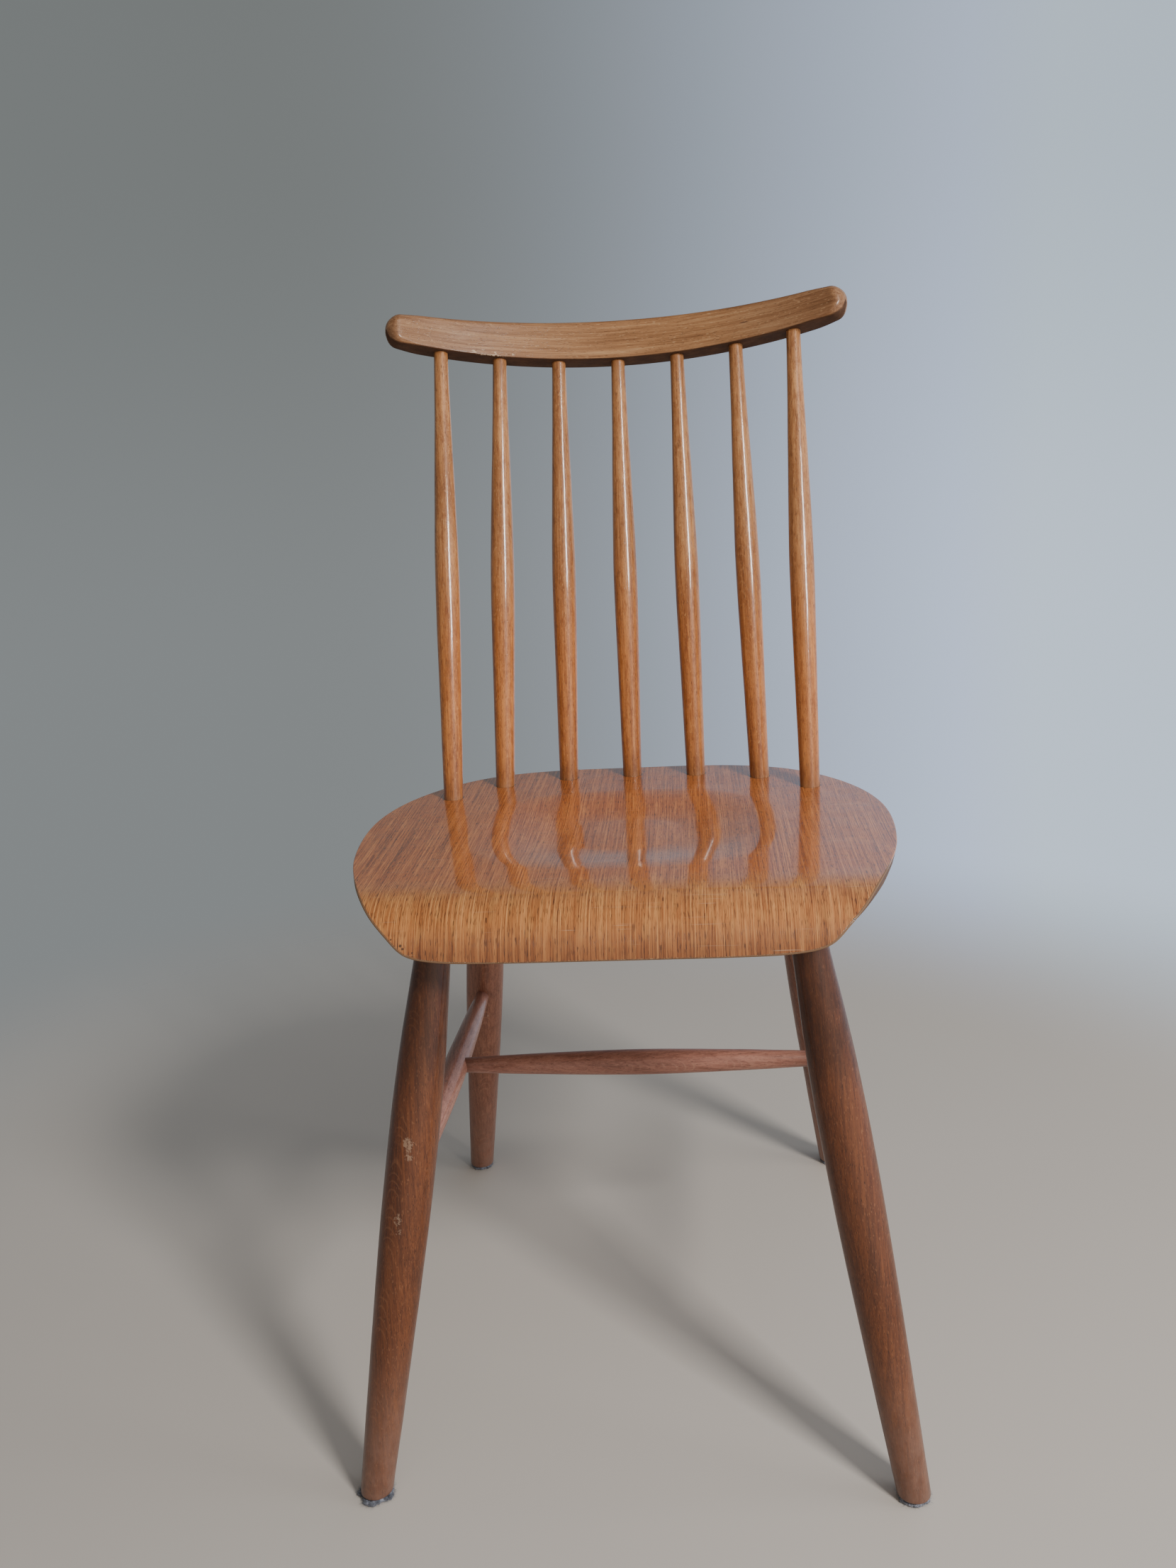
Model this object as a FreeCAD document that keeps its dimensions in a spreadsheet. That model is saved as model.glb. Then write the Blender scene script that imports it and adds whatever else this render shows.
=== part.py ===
import FreeCAD, Part
import Sketcher
import math
import os
from FreeCAD import Placement, Rotation, Vector

# Dining chair: bent and dished plywood seat, four turned splayed legs with an H stretcher,
# and a back of seven turned spindles under a curved crest rail.
# Frame: millimetres, +Z up, floor at z = 0, the sitter faces -Y, x = 0 is the mirror plane,
# and the origin lies under the middle of the chair's bounding box.

DIMENSIONS = {
    # where the sketches' front datum (the front feet's centre line) lies on Y
    "front_datum": -251.9,
    # seat shell
    "seat_height": 440,
    "seat_thickness": 10,
    "veneer": 1,
    "seat_half_width": 211.5,
    "seat_back": 415,
    "bend_start": 78,
    "bend_radius": 50,
    "lip_run": 65,
    "lip_corner_x": 100,
    "lip_corner_depth": 60,
    "dish_depth": 8,
    "dish_half_width": 118,
    "dish_front": 117,
    "dish_back": 329,
    # legs
    "pad_thickness": 3.5,
    "pad_radius": 10.5,
    "front_foot_x": 195,
    "front_top_x": 132,
    "front_top_y": 78,
    "rear_foot_x": 184,
    "rear_foot_y": 458,
    "rear_top_x": 136.5,
    "rear_top_y": 376,
    "leg_top_height": 400,
    "leg_foot_radius": 11.7,
    "leg_top_radius": 12.5,
    "leg_tenon": 24,
    # stretchers
    "stretcher_end_radius": 6.5,
    "leg_to_side_stretcher": 18,
    "side_to_cross_stretcher": 11.3,
    "side_front_height": 223,
    "side_rear_height": 219.5,
    "cross_fraction": 0.55,
    "socket_floor": 4,
    # under-seat battens and their screws
    "batten_bottom": 410,
    "batten_half_length": 152,
    "front_batten_front": 58,
    "front_batten_back": 104,
    "rear_batten_front": 350,
    "rear_batten_back": 391,
    "screw_radius": 2,
    "screw_head_radius": 4.2,
    "screw_head_height": 2.6,
    "screw_length": 25,
    "screw_spacing": 60,
    "front_screw_y": 82,
    "rear_screw_y": 370,
    # spindles
    "spindle_foot_radius": 8.5,
    "spindle_top_radius": 6.25,
    "spindle_pitch": 9,
    "spindle_tenon": 7,
    "spindle_top_tenon": 16,
    # crest rail
    "rail_y": 494,
    "rail_z": 808,
    "rail_tilt": 19.5,
    "rail_radius": 350,
    "rail_thickness": 20.5,
    "rail_face": 36.5,
    "rail_half_angle": 35.4,
    "rail_top_drop": 7,
    "rail_bottom_rise": 4.5,
    "rail_corner": 9.5,
    "rail_edge": 3,
    # all-round gap of a glued joint
    "glue_gap": 0.1,
}

# x and y of the spindles' centres on the seat, from the middle one outwards
SPINDLE_FEET = ((0, 388), (58.2, 384), (115, 365.4), (156.4, 327.2))

# outside radius at shares of a turned piece's length, between its two end radii
SPINDLE_SWELL = ((9.6, 0.2), (10.9, 0.48), (9.1, 0.7), (7.3, 0.86))
LEG_SWELL = ((15.3, 0.27), (17.9, 0.54), (17.3, 0.77))
STRETCHER_SWELL = ((8.9, 0.2), (10.8, 0.5), (8.9, 0.8))

# right half of the seat's plan behind the lip, from the front; y from the front datum
SEAT_PLAN = ((158, 30), (169.5, 50), (184.5, 78), (203.5, 155), (211.5, 225), (206, 285),
             (185, 340), (140, 391), (75, 413))

# how flat the floor of the seat's hollow is: 2 is round, higher is flatter
DISH_POWER = 2.5

# x and z where the rounding of a lower lip corner starts, and halfway along it
LIP_CORNER_START = (174.5, 436)
LIP_CORNER_MIDDLE = (150, 413.6)

# how far cutting tools reach past the solids that they trim
CLEAR = 25

doc = FreeCAD.newDocument("dining_chair")
sheet = doc.addObject("Spreadsheet::Sheet", "Sizes")
for row, (alias, value) in enumerate(DIMENSIONS.items(), start=1):
    sheet.set("A%d" % row, alias)
    sheet.set("B%d" % row, str(value))
    sheet.setAlias("B%d" % row, alias)
doc.recompute()

NODES = []


def size(alias):
    """The number in the sheet's cell with this alias."""
    return float(sheet.get(alias))


def bind(item, prop, expression):
    """Ties a property to the sheet; names of cells are written with the sheet's name."""
    item.setExpression(prop, expression)


def at(x, y, z):
    """A point given from the front datum, in the chair's own frame."""
    return Vector(x, y + size("front_datum"), z)


def node(item, label):
    """Marks a document object as a finished sub-part."""
    item.Label = label
    NODES.append(item)
    return item


# ---- sketches and bodies ---------------------------------------------------------------

def new_body(name):
    return doc.addObject("PartDesign::Body", name)


def new_sketch(body, name, plane, offset=0):
    """A sketch on one of the body's origin planes, moved along that plane's normal."""
    sketch = body.newObject("Sketcher::SketchObject", name)
    support = [f for f in body.Origin.OriginFeatures if f.Role == plane][0]
    sketch.AttachmentSupport = [(support, "")]
    sketch.MapMode = "FlatFace"
    sketch.AttachmentOffset = Placement(Vector(0, 0, offset), Rotation())
    return sketch


def line(start, end):
    return Part.LineSegment(Vector(*start, 0), Vector(*end, 0))


def arc(start, middle, end):
    return Part.Arc(Vector(*start, 0), Vector(*middle, 0), Vector(*end, 0))


def spline(points):
    curve = Part.BSplineCurve()
    curve.interpolate([Vector(*p, 0) for p in points])
    return curve


def add_loop(sketch, pieces):
    """Adds curves that close on one another and pins each joint with a constraint."""
    first = sketch.GeometryCount
    for piece in pieces:
        sketch.addGeometry(piece, False)
    count = len(pieces)
    for index in range(count):
        this, following = first + index, first + (index + 1) % count
        ends = [(sketch.getPoint(this, a).distanceToPoint(sketch.getPoint(following, b)), a, b)
                for a in (1, 2) for b in (1, 2)]
        gap, a, b = min(ends)
        if gap < 1e-6:
            sketch.addConstraint(Sketcher.Constraint("Coincident", this, a, following, b))
    return first


def measure(sketch, kind, index, expression):
    """Fixes a line's own length along X or Y to an expression on the sheet."""
    start, end = sketch.getPoint(index, 1), sketch.getPoint(index, 2)
    span = end - start
    value = span.x if kind == "DistanceX" else span.y
    near, far = (1, 2) if value > 0 else (2, 1)
    number = sketch.addConstraint(Sketcher.Constraint(kind, index, near, index, far, abs(value)))
    bind(sketch, "Constraints[%d]" % number, expression)


def pad(body, sketch, name, expression, midplane=False):
    feature = body.newObject("PartDesign::Pad", name)
    feature.Profile = sketch
    bind(feature, "Length", expression)
    feature.Midplane = midplane
    sketch.Visibility = False
    return feature


def turned(name, stations, tenons, foot_radius, top_radius):
    """A lathe-turned piece along its own +Z.

    stations are (radius, height) pairs that the outside passes through, tenons the lengths
    that carry on straight below the first station and above the last one, and foot_radius
    and top_radius the sheet's cells for the radii of those two ends."""
    body = new_body(name)
    sketch = new_sketch(body, name + "_profile", "XZ_Plane")
    foot, top = stations[0], stations[-1]
    low, high = foot[1] - tenons[0], top[1] + tenons[1]
    pieces = [line((0, low), (foot[0], low))]
    if tenons[0]:
        pieces.append(line((foot[0], low), foot))
    pieces.append(spline(stations))
    if tenons[1]:
        pieces.append(line(top, (top[0], high)))
    pieces.append(line((top[0], high), (0, high)))
    pieces.append(line((0, high), (0, low)))
    first = add_loop(sketch, pieces)
    last = first + len(pieces) - 1
    sketch.addConstraint(Sketcher.Constraint("PointOnObject", last, 1, -2))
    sketch.addConstraint(Sketcher.Constraint("PointOnObject", last, 2, -2))
    measure(sketch, "DistanceX", first, "Sizes." + foot_radius)
    measure(sketch, "DistanceX", last - 1, "Sizes." + top_radius)
    revolution = body.newObject("PartDesign::Revolution", name + "_turning")
    revolution.Profile = sketch
    revolution.ReferenceAxis = (sketch, ["V_Axis"])
    revolution.Angle = 360
    sketch.Visibility = False
    return body


def swelling(first, middle, last, low, high):
    """Stations of a turned piece: end radii and, between them, radii at shares of its length."""
    inner = [(radius, low + (high - low) * share) for radius, share in middle]
    return [(first, low)] + inner + [(last, high)]


def stand(item, start, end):
    """Places a piece so that its own +Z runs from start towards end."""
    direction = end - start
    item.Placement = Placement(start, Rotation(Vector(0, 0, 1), direction))


def rod(name, start, end, radius):
    """A cutting cylinder from start to end, its radius an expression on the sheet."""
    cylinder = doc.addObject("Part::Cylinder", name)
    bind(cylinder, "Radius", radius)
    cylinder.Height = (end - start).Length
    stand(cylinder, start, end)
    return cylinder


def cut(name, base, tools):
    """base with every tool taken away."""
    group = doc.addObject("Part::Compound", name + "_tools")
    group.Links = tools
    result = doc.addObject("Part::Cut", name)
    result.Base = base
    result.Tool = group
    return result


def along(start, end, distance):
    """The point at a distance from start on the way to end."""
    step = end - start
    step.normalize()
    return start + step * distance


def mirrored(point):
    return Vector(-point.x, point.y, point.z)


# ---- axes of the round pieces ----------------------------------------------------------

def leg_axis(side, end):
    """Foot and top points of a leg's axis: side is -1 or 1, end is front or rear."""
    foot_y = size("rear_foot_y") if end == "rear" else 0
    foot = at(size(end + "_foot_x"), foot_y, 0)
    top = at(size(end + "_top_x"), size(end + "_top_y"), size("leg_top_height"))
    if side < 0:
        return mirrored(foot), mirrored(top)
    return foot, top


def on_leg(side, end, height):
    foot, top = leg_axis(side, end)
    return foot + (top - foot) * (height / size("leg_top_height"))


def side_stretcher_axis(side):
    front = on_leg(side, "front", size("side_front_height"))
    rear = on_leg(side, "rear", size("side_rear_height"))
    return front, rear


def cross_stretcher_axis():
    front, rear = side_stretcher_axis(-1)
    left = front + (rear - front) * size("cross_fraction")
    return left, mirrored(left)


def rail_frame():
    """Middle of the rail's underside, and its forward and upward directions."""
    tilt = math.radians(size("rail_tilt"))
    middle = at(0, size("rail_y"), size("rail_z"))
    return middle, Vector(0, -math.cos(tilt), math.sin(tilt)), Vector(0, math.sin(tilt), math.cos(tilt))


def spindle_axis(index):
    """Points where a spindle's axis meets the seat and the rail; index runs from -3 to 3."""
    x, y = SPINDLE_FEET[abs(index)]
    foot = at(math.copysign(x, index), y, size("seat_height"))
    middle, forward, upward = rail_frame()
    angle = math.radians(index * size("spindle_pitch"))
    radius = size("rail_radius")
    rise = size("rail_bottom_rise") * (index * size("spindle_pitch") / size("rail_half_angle")) ** 2
    top = middle + Vector(radius * math.sin(angle), 0, 0)
    top = top + forward * (radius * (1 - math.cos(angle))) + upward * rise
    return foot, top


SPINDLES = range(-3, 4)
SIDES = {"left": -1, "right": 1}


# ---- seat ------------------------------------------------------------------------------

def dish(x, y):
    """Depth of the shallow hollow at x and y (y from the front datum)."""
    middle = (size("dish_front") + size("dish_back")) / 2
    half_length = (size("dish_back") - size("dish_front")) / 2
    across = min(1, abs(x) / size("dish_half_width"))
    lengthwise = min(1, abs(y - middle) / half_length)
    return size("dish_depth") * (1 - across ** DISH_POWER) ** 2 * (1 - lengthwise ** DISH_POWER) ** 2


def shell_point(x, run, depth):
    """A point of the moulded sheet: run is measured back from the front bend along the
    sitting surface (negative on the bend), and depth down into the sheet."""
    if run >= 0:
        y = size("bend_start") + run
        return at(x, y, size("seat_height") - depth - dish(x, y))
    angle = -run / size("bend_radius")
    radius = size("bend_radius") - depth
    height = size("seat_height") - size("bend_radius")
    return at(x, size("bend_start") - radius * math.sin(angle), height + radius * math.cos(angle))


def clamped_knots(count):
    """Even knots and their multiplicities for a cubic curve with this many poles."""
    inner = count - 3
    return [i / inner for i in range(inner + 1)], [4] + [1] * (inner - 1) + [4]


def shell_surface(depth, half_width, back_run):
    """The sheet's surface at a depth, as a cubic surface with its poles on the shell."""
    columns = [half_width * (i / 15 - 1) for i in range(31)]
    lip = size("lip_run")
    runs = [-lip + i * lip / 12 for i in range(12)] + [i * back_run / 30 for i in range(31)]
    poles = [[shell_point(x, run, depth) for run in runs] for x in columns]
    u_knots, u_mults = clamped_knots(len(columns))
    v_knots, v_mults = clamped_knots(len(runs))
    surface = Part.BSplineSurface()
    surface.buildFromPolesMultsKnots(poles, u_mults, v_mults, u_knots, v_knots, False, False, 3, 3)
    return surface


def ply_blank(name, top_depth, bottom_depth):
    """An untrimmed ply of the bent seat, between two depths below the sitting surface."""
    half_width = size("seat_half_width") + 6
    back_run = size("seat_back") - size("bend_start") + 6
    top = shell_surface(top_depth, half_width, back_run)
    bottom = shell_surface(bottom_depth, half_width, back_run)
    faces = [top.toShape(), bottom.toShape()]
    first_u, last_u, first_v, last_v = top.bounds()
    for u in (first_u, last_u):
        faces.append(Part.makeRuledSurface(top.uIso(u).toShape(), bottom.uIso(u).toShape()))
    for v in (first_v, last_v):
        faces.append(Part.makeRuledSurface(top.vIso(v).toShape(), bottom.vIso(v).toShape()))
    shell = Part.makeShell(faces)
    shell.sewShape()
    solid = Part.makeSolid(Part.Shell(shell.Faces))
    if solid.Volume < 0:
        solid.reverse()
    blank = doc.addObject("Part::Feature", name)
    blank.Shape = solid
    blank.Placement = Placement()
    return blank


def seat_outline():
    """A tall block with the seat's plan, which trims the plies."""
    back, datum = size("seat_back"), size("front_datum")
    right = [(x, y + datum) for x, y in SEAT_PLAN]
    left = [(-x, y) for x, y in reversed(right)]
    corner, front = right[0][0] - 8, right[0][1] - 20
    low = size("seat_height") - size("lip_run") + 5
    body = new_body("seat_outline")
    sketch = new_sketch(body, "seat_plan", "XY_Plane", low)
    pieces = [
        line((-corner, front), (corner, front)),
        line((corner, front), right[0]),
        spline(right + [(0, back + datum)] + left),
        line(left[-1], (-corner, front)),
    ]
    add_loop(sketch, pieces)
    pad(body, sketch, "seat_plan_block", "Sizes.lip_run + 15")
    return body


def lip_corner(name, side):
    """The block that rounds one lower corner of the front lip."""
    datum = size("front_datum")
    body = new_body(name)
    sketch = new_sketch(body, name + "_face", "XZ_Plane", -datum - size("lip_corner_depth"))
    inner = size("lip_corner_x")
    low = shell_point(0, -size("lip_run"), 0).z
    below, above = low - CLEAR, size("seat_height") + CLEAR
    beside = size("seat_half_width") + CLEAR
    outer = [(inner, low), (inner, below), (beside, below), (beside, above), (LIP_CORNER_START[0] + 7, above),
             LIP_CORNER_START]
    points = [(side * x, z) for x, z in outer]
    pieces = [line(points[i], points[i + 1]) for i in range(len(points) - 1)]
    pieces.append(arc(points[-1], (side * LIP_CORNER_MIDDLE[0], LIP_CORNER_MIDDLE[1]), points[0]))
    add_loop(sketch, pieces)
    pad(body, sketch, name + "_block", "Sizes.lip_corner_depth")
    return body


def seat_ply(name, top_depth, bottom_depth, outline, corners, tools):
    blank = ply_blank(name + "_blank", top_depth, bottom_depth)
    trimmed = doc.addObject("Part::Common", name + "_trimmed")
    trimmed.Base = blank
    trimmed.Tool = outline
    return node(cut(name + "_ply", trimmed, corners + tools), name)


def make_seat(spindle_holes, screw_holes):
    thickness, veneer = size("seat_thickness"), size("veneer")
    outline = seat_outline()
    corners = [lip_corner("lip_corner_left", -1), lip_corner("lip_corner_right", 1)]
    seat_ply("seat_top_veneer", 0, veneer, outline, corners, spindle_holes)
    seat_ply("seat_core", veneer, thickness - veneer, outline, corners, spindle_holes + screw_holes)
    seat_ply("seat_bottom_veneer", thickness - veneer, thickness, outline, corners,
             spindle_holes + screw_holes)


# ---- battens and screws ----------------------------------------------------------------

def screw_places(end):
    spacing, y = size("screw_spacing"), size(end + "_screw_y")
    return [((i - 1.5) * spacing, y) for i in range(4)]


def drill_screws(body, end):
    """Clearance holes for the four screws of a batten."""
    sketch = new_sketch(body, end + "_screw_holes", "XY_Plane", size("batten_bottom") - 1)
    for x, y in screw_places(end):
        centre = Vector(x, y + size("front_datum"), 0)
        circle = Part.Circle(centre, Vector(0, 0, 1), size("screw_radius") + size("glue_gap"))
        index = sketch.addGeometry(circle, False)
        number = sketch.addConstraint(Sketcher.Constraint("Radius", index, circle.Radius))
        bind(sketch, "Constraints[%d]" % number, "Sizes.screw_radius + Sizes.glue_gap")
    pocket = body.newObject("PartDesign::Pocket", end + "_screw_drilling")
    pocket.Profile = sketch
    pocket.Reversed = True
    bind(pocket, "Length", "Sizes.seat_height - Sizes.batten_bottom + 5")
    sketch.Visibility = False


def make_front_batten(sockets):
    """The batten behind the front lip; its upper front corner follows the bend."""
    datum, gap = size("front_datum"), size("glue_gap")
    bottom, top = size("batten_bottom"), size("seat_height") - size("seat_thickness") - gap
    radius = size("bend_radius") - size("seat_thickness") - gap
    centre_y, centre_z = size("bend_start"), size("seat_height") - size("bend_radius")
    front, back = size("front_batten_front"), size("front_batten_back")
    reach = math.acos((centre_y - front) / radius)
    corner = (front, centre_z + radius * math.sin(reach))
    halfway = (reach + math.pi / 2) / 2
    crown = (centre_y - radius * math.cos(halfway), centre_z + radius * math.sin(halfway))

    def there(point):
        return point[0] + datum, point[1]

    body = new_body("front_batten_body")
    sketch = new_sketch(body, "front_batten_section", "YZ_Plane")
    add_loop(sketch, [
        line(there((front, bottom)), there(corner)),
        arc(there(corner), there(crown), there((centre_y, top))),
        line(there((centre_y, top)), there((back, top))),
        line(there((back, top)), there((back, bottom))),
        line(there((back, bottom)), there((front, bottom))),
    ])
    pad(body, sketch, "front_batten_bar", "2 * Sizes.batten_half_length", midplane=True)
    drill_screws(body, "front")
    node(cut("front_batten_cut", body, sockets), "front_batten")


def make_rear_batten(sockets):
    """The batten under the back of the seat; its ends stay inside the seat's curve."""
    datum, half = size("front_datum"), size("batten_half_length")
    front, back = size("rear_batten_front") + datum, size("rear_batten_back") + datum
    corners = [(-half, front), (half, front), (half, back - 12), (half - 14, back),
               (14 - half, back), (-half, back - 12)]
    body = new_body("rear_batten_body")
    sketch = new_sketch(body, "rear_batten_plan", "XY_Plane", size("batten_bottom"))
    add_loop(sketch, [line(corners[i - 1], corners[i]) for i in range(len(corners))])
    depth = "Sizes.seat_height - Sizes.seat_thickness - Sizes.glue_gap - Sizes.batten_bottom"
    pad(body, sketch, "rear_batten_bar", depth)
    drill_screws(body, "rear")
    node(cut("rear_batten_cut", body, sockets), "rear_batten")


def make_screws(end):
    """Four round-headed wood screws up through a batten into the seat's core."""
    radius, head = size("screw_radius"), size("screw_head_radius")
    height, length = size("screw_head_height"), size("screw_length")
    x, y = screw_places(end)[0]
    body = new_body(end + "_screws_body")
    body.AllowCompound = True
    sketch = new_sketch(body, end + "_screw_profile", "XZ_Plane")
    add_loop(sketch, [
        arc((0, -height), (head * 0.72, -height * 0.68), (head, 0)),
        line((head, 0), (radius, 0)),
        line((radius, 0), (radius, length - 6)),
        line((radius, length - 6), (0, length)),
        line((0, length), (0, -height)),
    ])
    turning = body.newObject("PartDesign::Revolution", end + "_screw_turning")
    turning.Profile = sketch
    turning.ReferenceAxis = (sketch, ["V_Axis"])
    turning.Angle = 360
    sketch.Visibility = False
    doc.recompute()
    row = body.newObject("PartDesign::LinearPattern", end + "_screw_row")
    row.Originals = [turning]
    row.Direction = ([f for f in body.Origin.OriginFeatures if f.Role == "X_Axis"][0], [""])
    bind(row, "Length", "3 * Sizes.screw_spacing")
    row.Occurrences = 4
    body.Tip = row
    body.Placement = Placement(at(x, y, size("batten_bottom")), Rotation())
    node(body, end + "_batten_screws")


# ---- turned pieces ---------------------------------------------------------------------

def leg_name(side, end):
    return "%s_%s_leg" % (end, side)


def make_leg(side, end, floor):
    """A cigar-shaped leg, cut level at the foot, with a socket for the side stretcher."""
    foot, top = leg_axis(SIDES[side], end)
    length = (top - foot).Length
    stations = swelling(size("leg_foot_radius"), LEG_SWELL, size("leg_top_radius"), 0, length)
    name = leg_name(side, end)
    body = turned(name + "_wood", stations, (6, size("leg_tenon")), "leg_foot_radius",
                  "leg_top_radius")
    stand(body, foot, top)
    front, rear = side_stretcher_axis(SIDES[side])
    start, goal = (front, rear) if end == "front" else (rear, front)
    socket = rod(name + "_socket", along(start, goal, size("socket_floor") - 0.5),
                 along(start, goal, size("leg_to_side_stretcher") + CLEAR),
                 "Sizes.stretcher_end_radius + Sizes.glue_gap")
    node(cut(name + "_cut", body, [floor, socket]), name)


def make_pad(side, end):
    """A felt disc under a foot."""
    centre = on_leg(SIDES[side], end, size("pad_thickness"))
    felt = doc.addObject("Part::Cylinder", "%s_%s_felt_pad" % (end, side))
    bind(felt, "Radius", "Sizes.pad_radius")
    bind(felt, "Height", "Sizes.pad_thickness")
    felt.Placement = Placement(Vector(centre.x, centre.y, 0), Rotation())
    node(felt, felt.Name)


def stretcher(name, start, end, inset):
    """A turned rail between two axis points; the wood of the pieces that it joins reaches
    inset from either point."""
    slim, floor = size("stretcher_end_radius"), size("socket_floor")
    low, high = inset, (end - start).Length - inset
    stations = swelling(slim, STRETCHER_SWELL, slim, low, high)
    body = turned(name, stations, (inset - floor, inset - floor),
                  "stretcher_end_radius", "stretcher_end_radius")
    stand(body, start, end)
    return body


def make_side_stretcher(side):
    front, rear = side_stretcher_axis(SIDES[side])
    inset = size("leg_to_side_stretcher")
    wood = stretcher(side + "_side_stretcher_wood", front, rear, inset)
    left, right = cross_stretcher_axis()
    start, goal = (left, right) if side == "left" else (right, left)
    socket = rod(side + "_cross_socket", along(start, goal, size("socket_floor") - 0.5),
                 along(start, goal, size("side_to_cross_stretcher") + CLEAR),
                 "Sizes.stretcher_end_radius + Sizes.glue_gap")
    node(cut(side + "_side_stretcher_cut", wood, [socket]), side + "_side_stretcher")


def make_cross_stretcher():
    left, right = cross_stretcher_axis()
    inset = size("side_to_cross_stretcher")
    node(stretcher("cross_stretcher_wood", left, right, inset), "cross_stretcher")


def make_spindle(index):
    """One back spindle, thickest about halfway up and slim under the rail."""
    foot, top = spindle_axis(index)
    stations = swelling(size("spindle_foot_radius"), SPINDLE_SWELL, size("spindle_top_radius"),
                        0, (top - foot).Length)
    body = turned("spindle_%d_wood" % (index + 4), stations,
                  (size("spindle_tenon"), size("spindle_top_tenon")),
                  "spindle_foot_radius", "spindle_top_radius")
    stand(body, foot, top)
    node(body, "spindle_%d" % (index + 4))


# ---- crest rail ------------------------------------------------------------------------

def make_crest_rail(sockets):
    """The curved top rail: a bent bar whose face narrows towards rounded ends."""
    radius, half = size("rail_radius"), size("rail_thickness") / 2
    angle = math.radians(size("rail_half_angle"))
    face = size("rail_face")

    def on_arc(r, turn):
        return r * math.sin(turn), r * math.cos(turn) - radius

    inner, outer = radius - half, radius + half
    body = new_body("crest_rail_body")
    plan = new_sketch(body, "crest_rail_plan", "XY_Plane")
    add_loop(plan, [
        arc(on_arc(inner, -angle), on_arc(inner, 0), on_arc(inner, angle)),
        line(on_arc(inner, angle), on_arc(outer, angle)),
        arc(on_arc(outer, angle), on_arc(outer, 0), on_arc(outer, -angle)),
        line(on_arc(outer, -angle), on_arc(inner, -angle)),
    ])
    pad(body, plan, "crest_rail_bar", "Sizes.rail_face")

    end_x = on_arc(outer, angle)[0] + 10
    drop, rise = size("rail_top_drop"), size("rail_bottom_rise")
    front = new_sketch(body, "crest_rail_front", "XZ_Plane")
    add_loop(front, [
        arc((-end_x, face - drop), (0, face), (end_x, face - drop)),
        line((end_x, face - drop), (end_x, rise)),
        arc((end_x, rise), (0, 0), (-end_x, rise)),
        line((-end_x, rise), (-end_x, face - drop)),
    ])
    margin = 30
    frame = [(-end_x - margin, -margin), (end_x + margin, -margin),
             (end_x + margin, face + margin), (-end_x - margin, face + margin)]
    add_loop(front, [line(frame[i - 1], frame[i]) for i in range(4)])
    shaping = body.newObject("PartDesign::Pocket", "crest_rail_shaping")
    shaping.Profile = front
    shaping.Midplane = True
    shaping.Length = 400
    plan.Visibility = False
    front.Visibility = False
    doc.recompute()

    # first the four corners seen from the front, then every edge that is left
    corners = body.newObject("PartDesign::Fillet", "crest_rail_corners")
    across = [i for i, edge in enumerate(shaping.Shape.Edges, start=1)
              if abs(edge.Length - 2 * half) < 2 and abs(edge.CenterOfMass.x) > inner / 2]
    corners.Base = (shaping, ["Edge%d" % i for i in across])
    bind(corners, "Radius", "Sizes.rail_corner")
    doc.recompute()
    rounding = body.newObject("PartDesign::Fillet", "crest_rail_rounding")
    rounding.Base = (corners, ["Edge%d" % (i + 1) for i in range(len(corners.Shape.Edges))])
    bind(rounding, "Radius", "Sizes.rail_edge")
    body.Tip = rounding
    origin = rail_frame()[0]
    body.Placement = Placement(origin, Rotation(Vector(1, 0, 0), -size("rail_tilt")))
    node(cut("crest_rail_cut", body, sockets), "crest_rail")


# ---- assembly --------------------------------------------------------------------------

def make_chair():
    seat_holes, rail_sockets = [], []
    for index in SPINDLES:
        foot, top = spindle_axis(index)
        seat_holes.append(rod("seat_hole_%d" % (index + 4), along(foot, top, -16),
                              along(foot, top, 8), "Sizes.spindle_foot_radius + Sizes.glue_gap"))
        rail_sockets.append(rod("rail_socket_%d" % (index + 4), along(top, foot, 6),
                                along(top, foot, -size("spindle_top_tenon") - 0.5),
                                "Sizes.spindle_top_radius + Sizes.glue_gap"))
        make_spindle(index)
    screw_holes = []
    for end in ("front", "rear"):
        for number, (x, y) in enumerate(screw_places(end), start=1):
            low = at(x, y, size("batten_bottom") + 12)
            high = at(x, y, size("batten_bottom") + size("screw_length") + 0.5)
            screw_holes.append(rod("%s_pilot_%d" % (end, number), low, high,
                                   "Sizes.screw_radius + Sizes.glue_gap"))
    make_seat(seat_holes, screw_holes)

    floor = doc.addObject("Part::Box", "below_the_feet")
    floor.Length = 2 * (size("front_foot_x") + 4 * CLEAR)
    floor.Width = size("rear_foot_y") + 8 * CLEAR
    floor.Height = CLEAR
    corner = Vector(-size("front_foot_x") - 4 * CLEAR, size("front_datum") - 4 * CLEAR,
                    size("pad_thickness") - CLEAR)
    floor.Placement = Placement(corner, Rotation())
    for end in ("front", "rear"):
        sockets = []
        for side, sign in SIDES.items():
            make_leg(side, end, floor)
            make_pad(side, end)
            foot, top = leg_axis(sign, end)
            sockets.append(rod("%s_%s_batten_socket" % (end, side), along(top, foot, 12),
                               along(top, foot, -size("leg_tenon") - 0.5),
                               "Sizes.leg_top_radius + Sizes.glue_gap"))
        if end == "front":
            make_front_batten(sockets)
        else:
            make_rear_batten(sockets)
        make_screws(end)
    for side in SIDES:
        make_side_stretcher(side)
    make_cross_stretcher()
    make_crest_rail(rail_sockets)
    doc.recompute()


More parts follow.
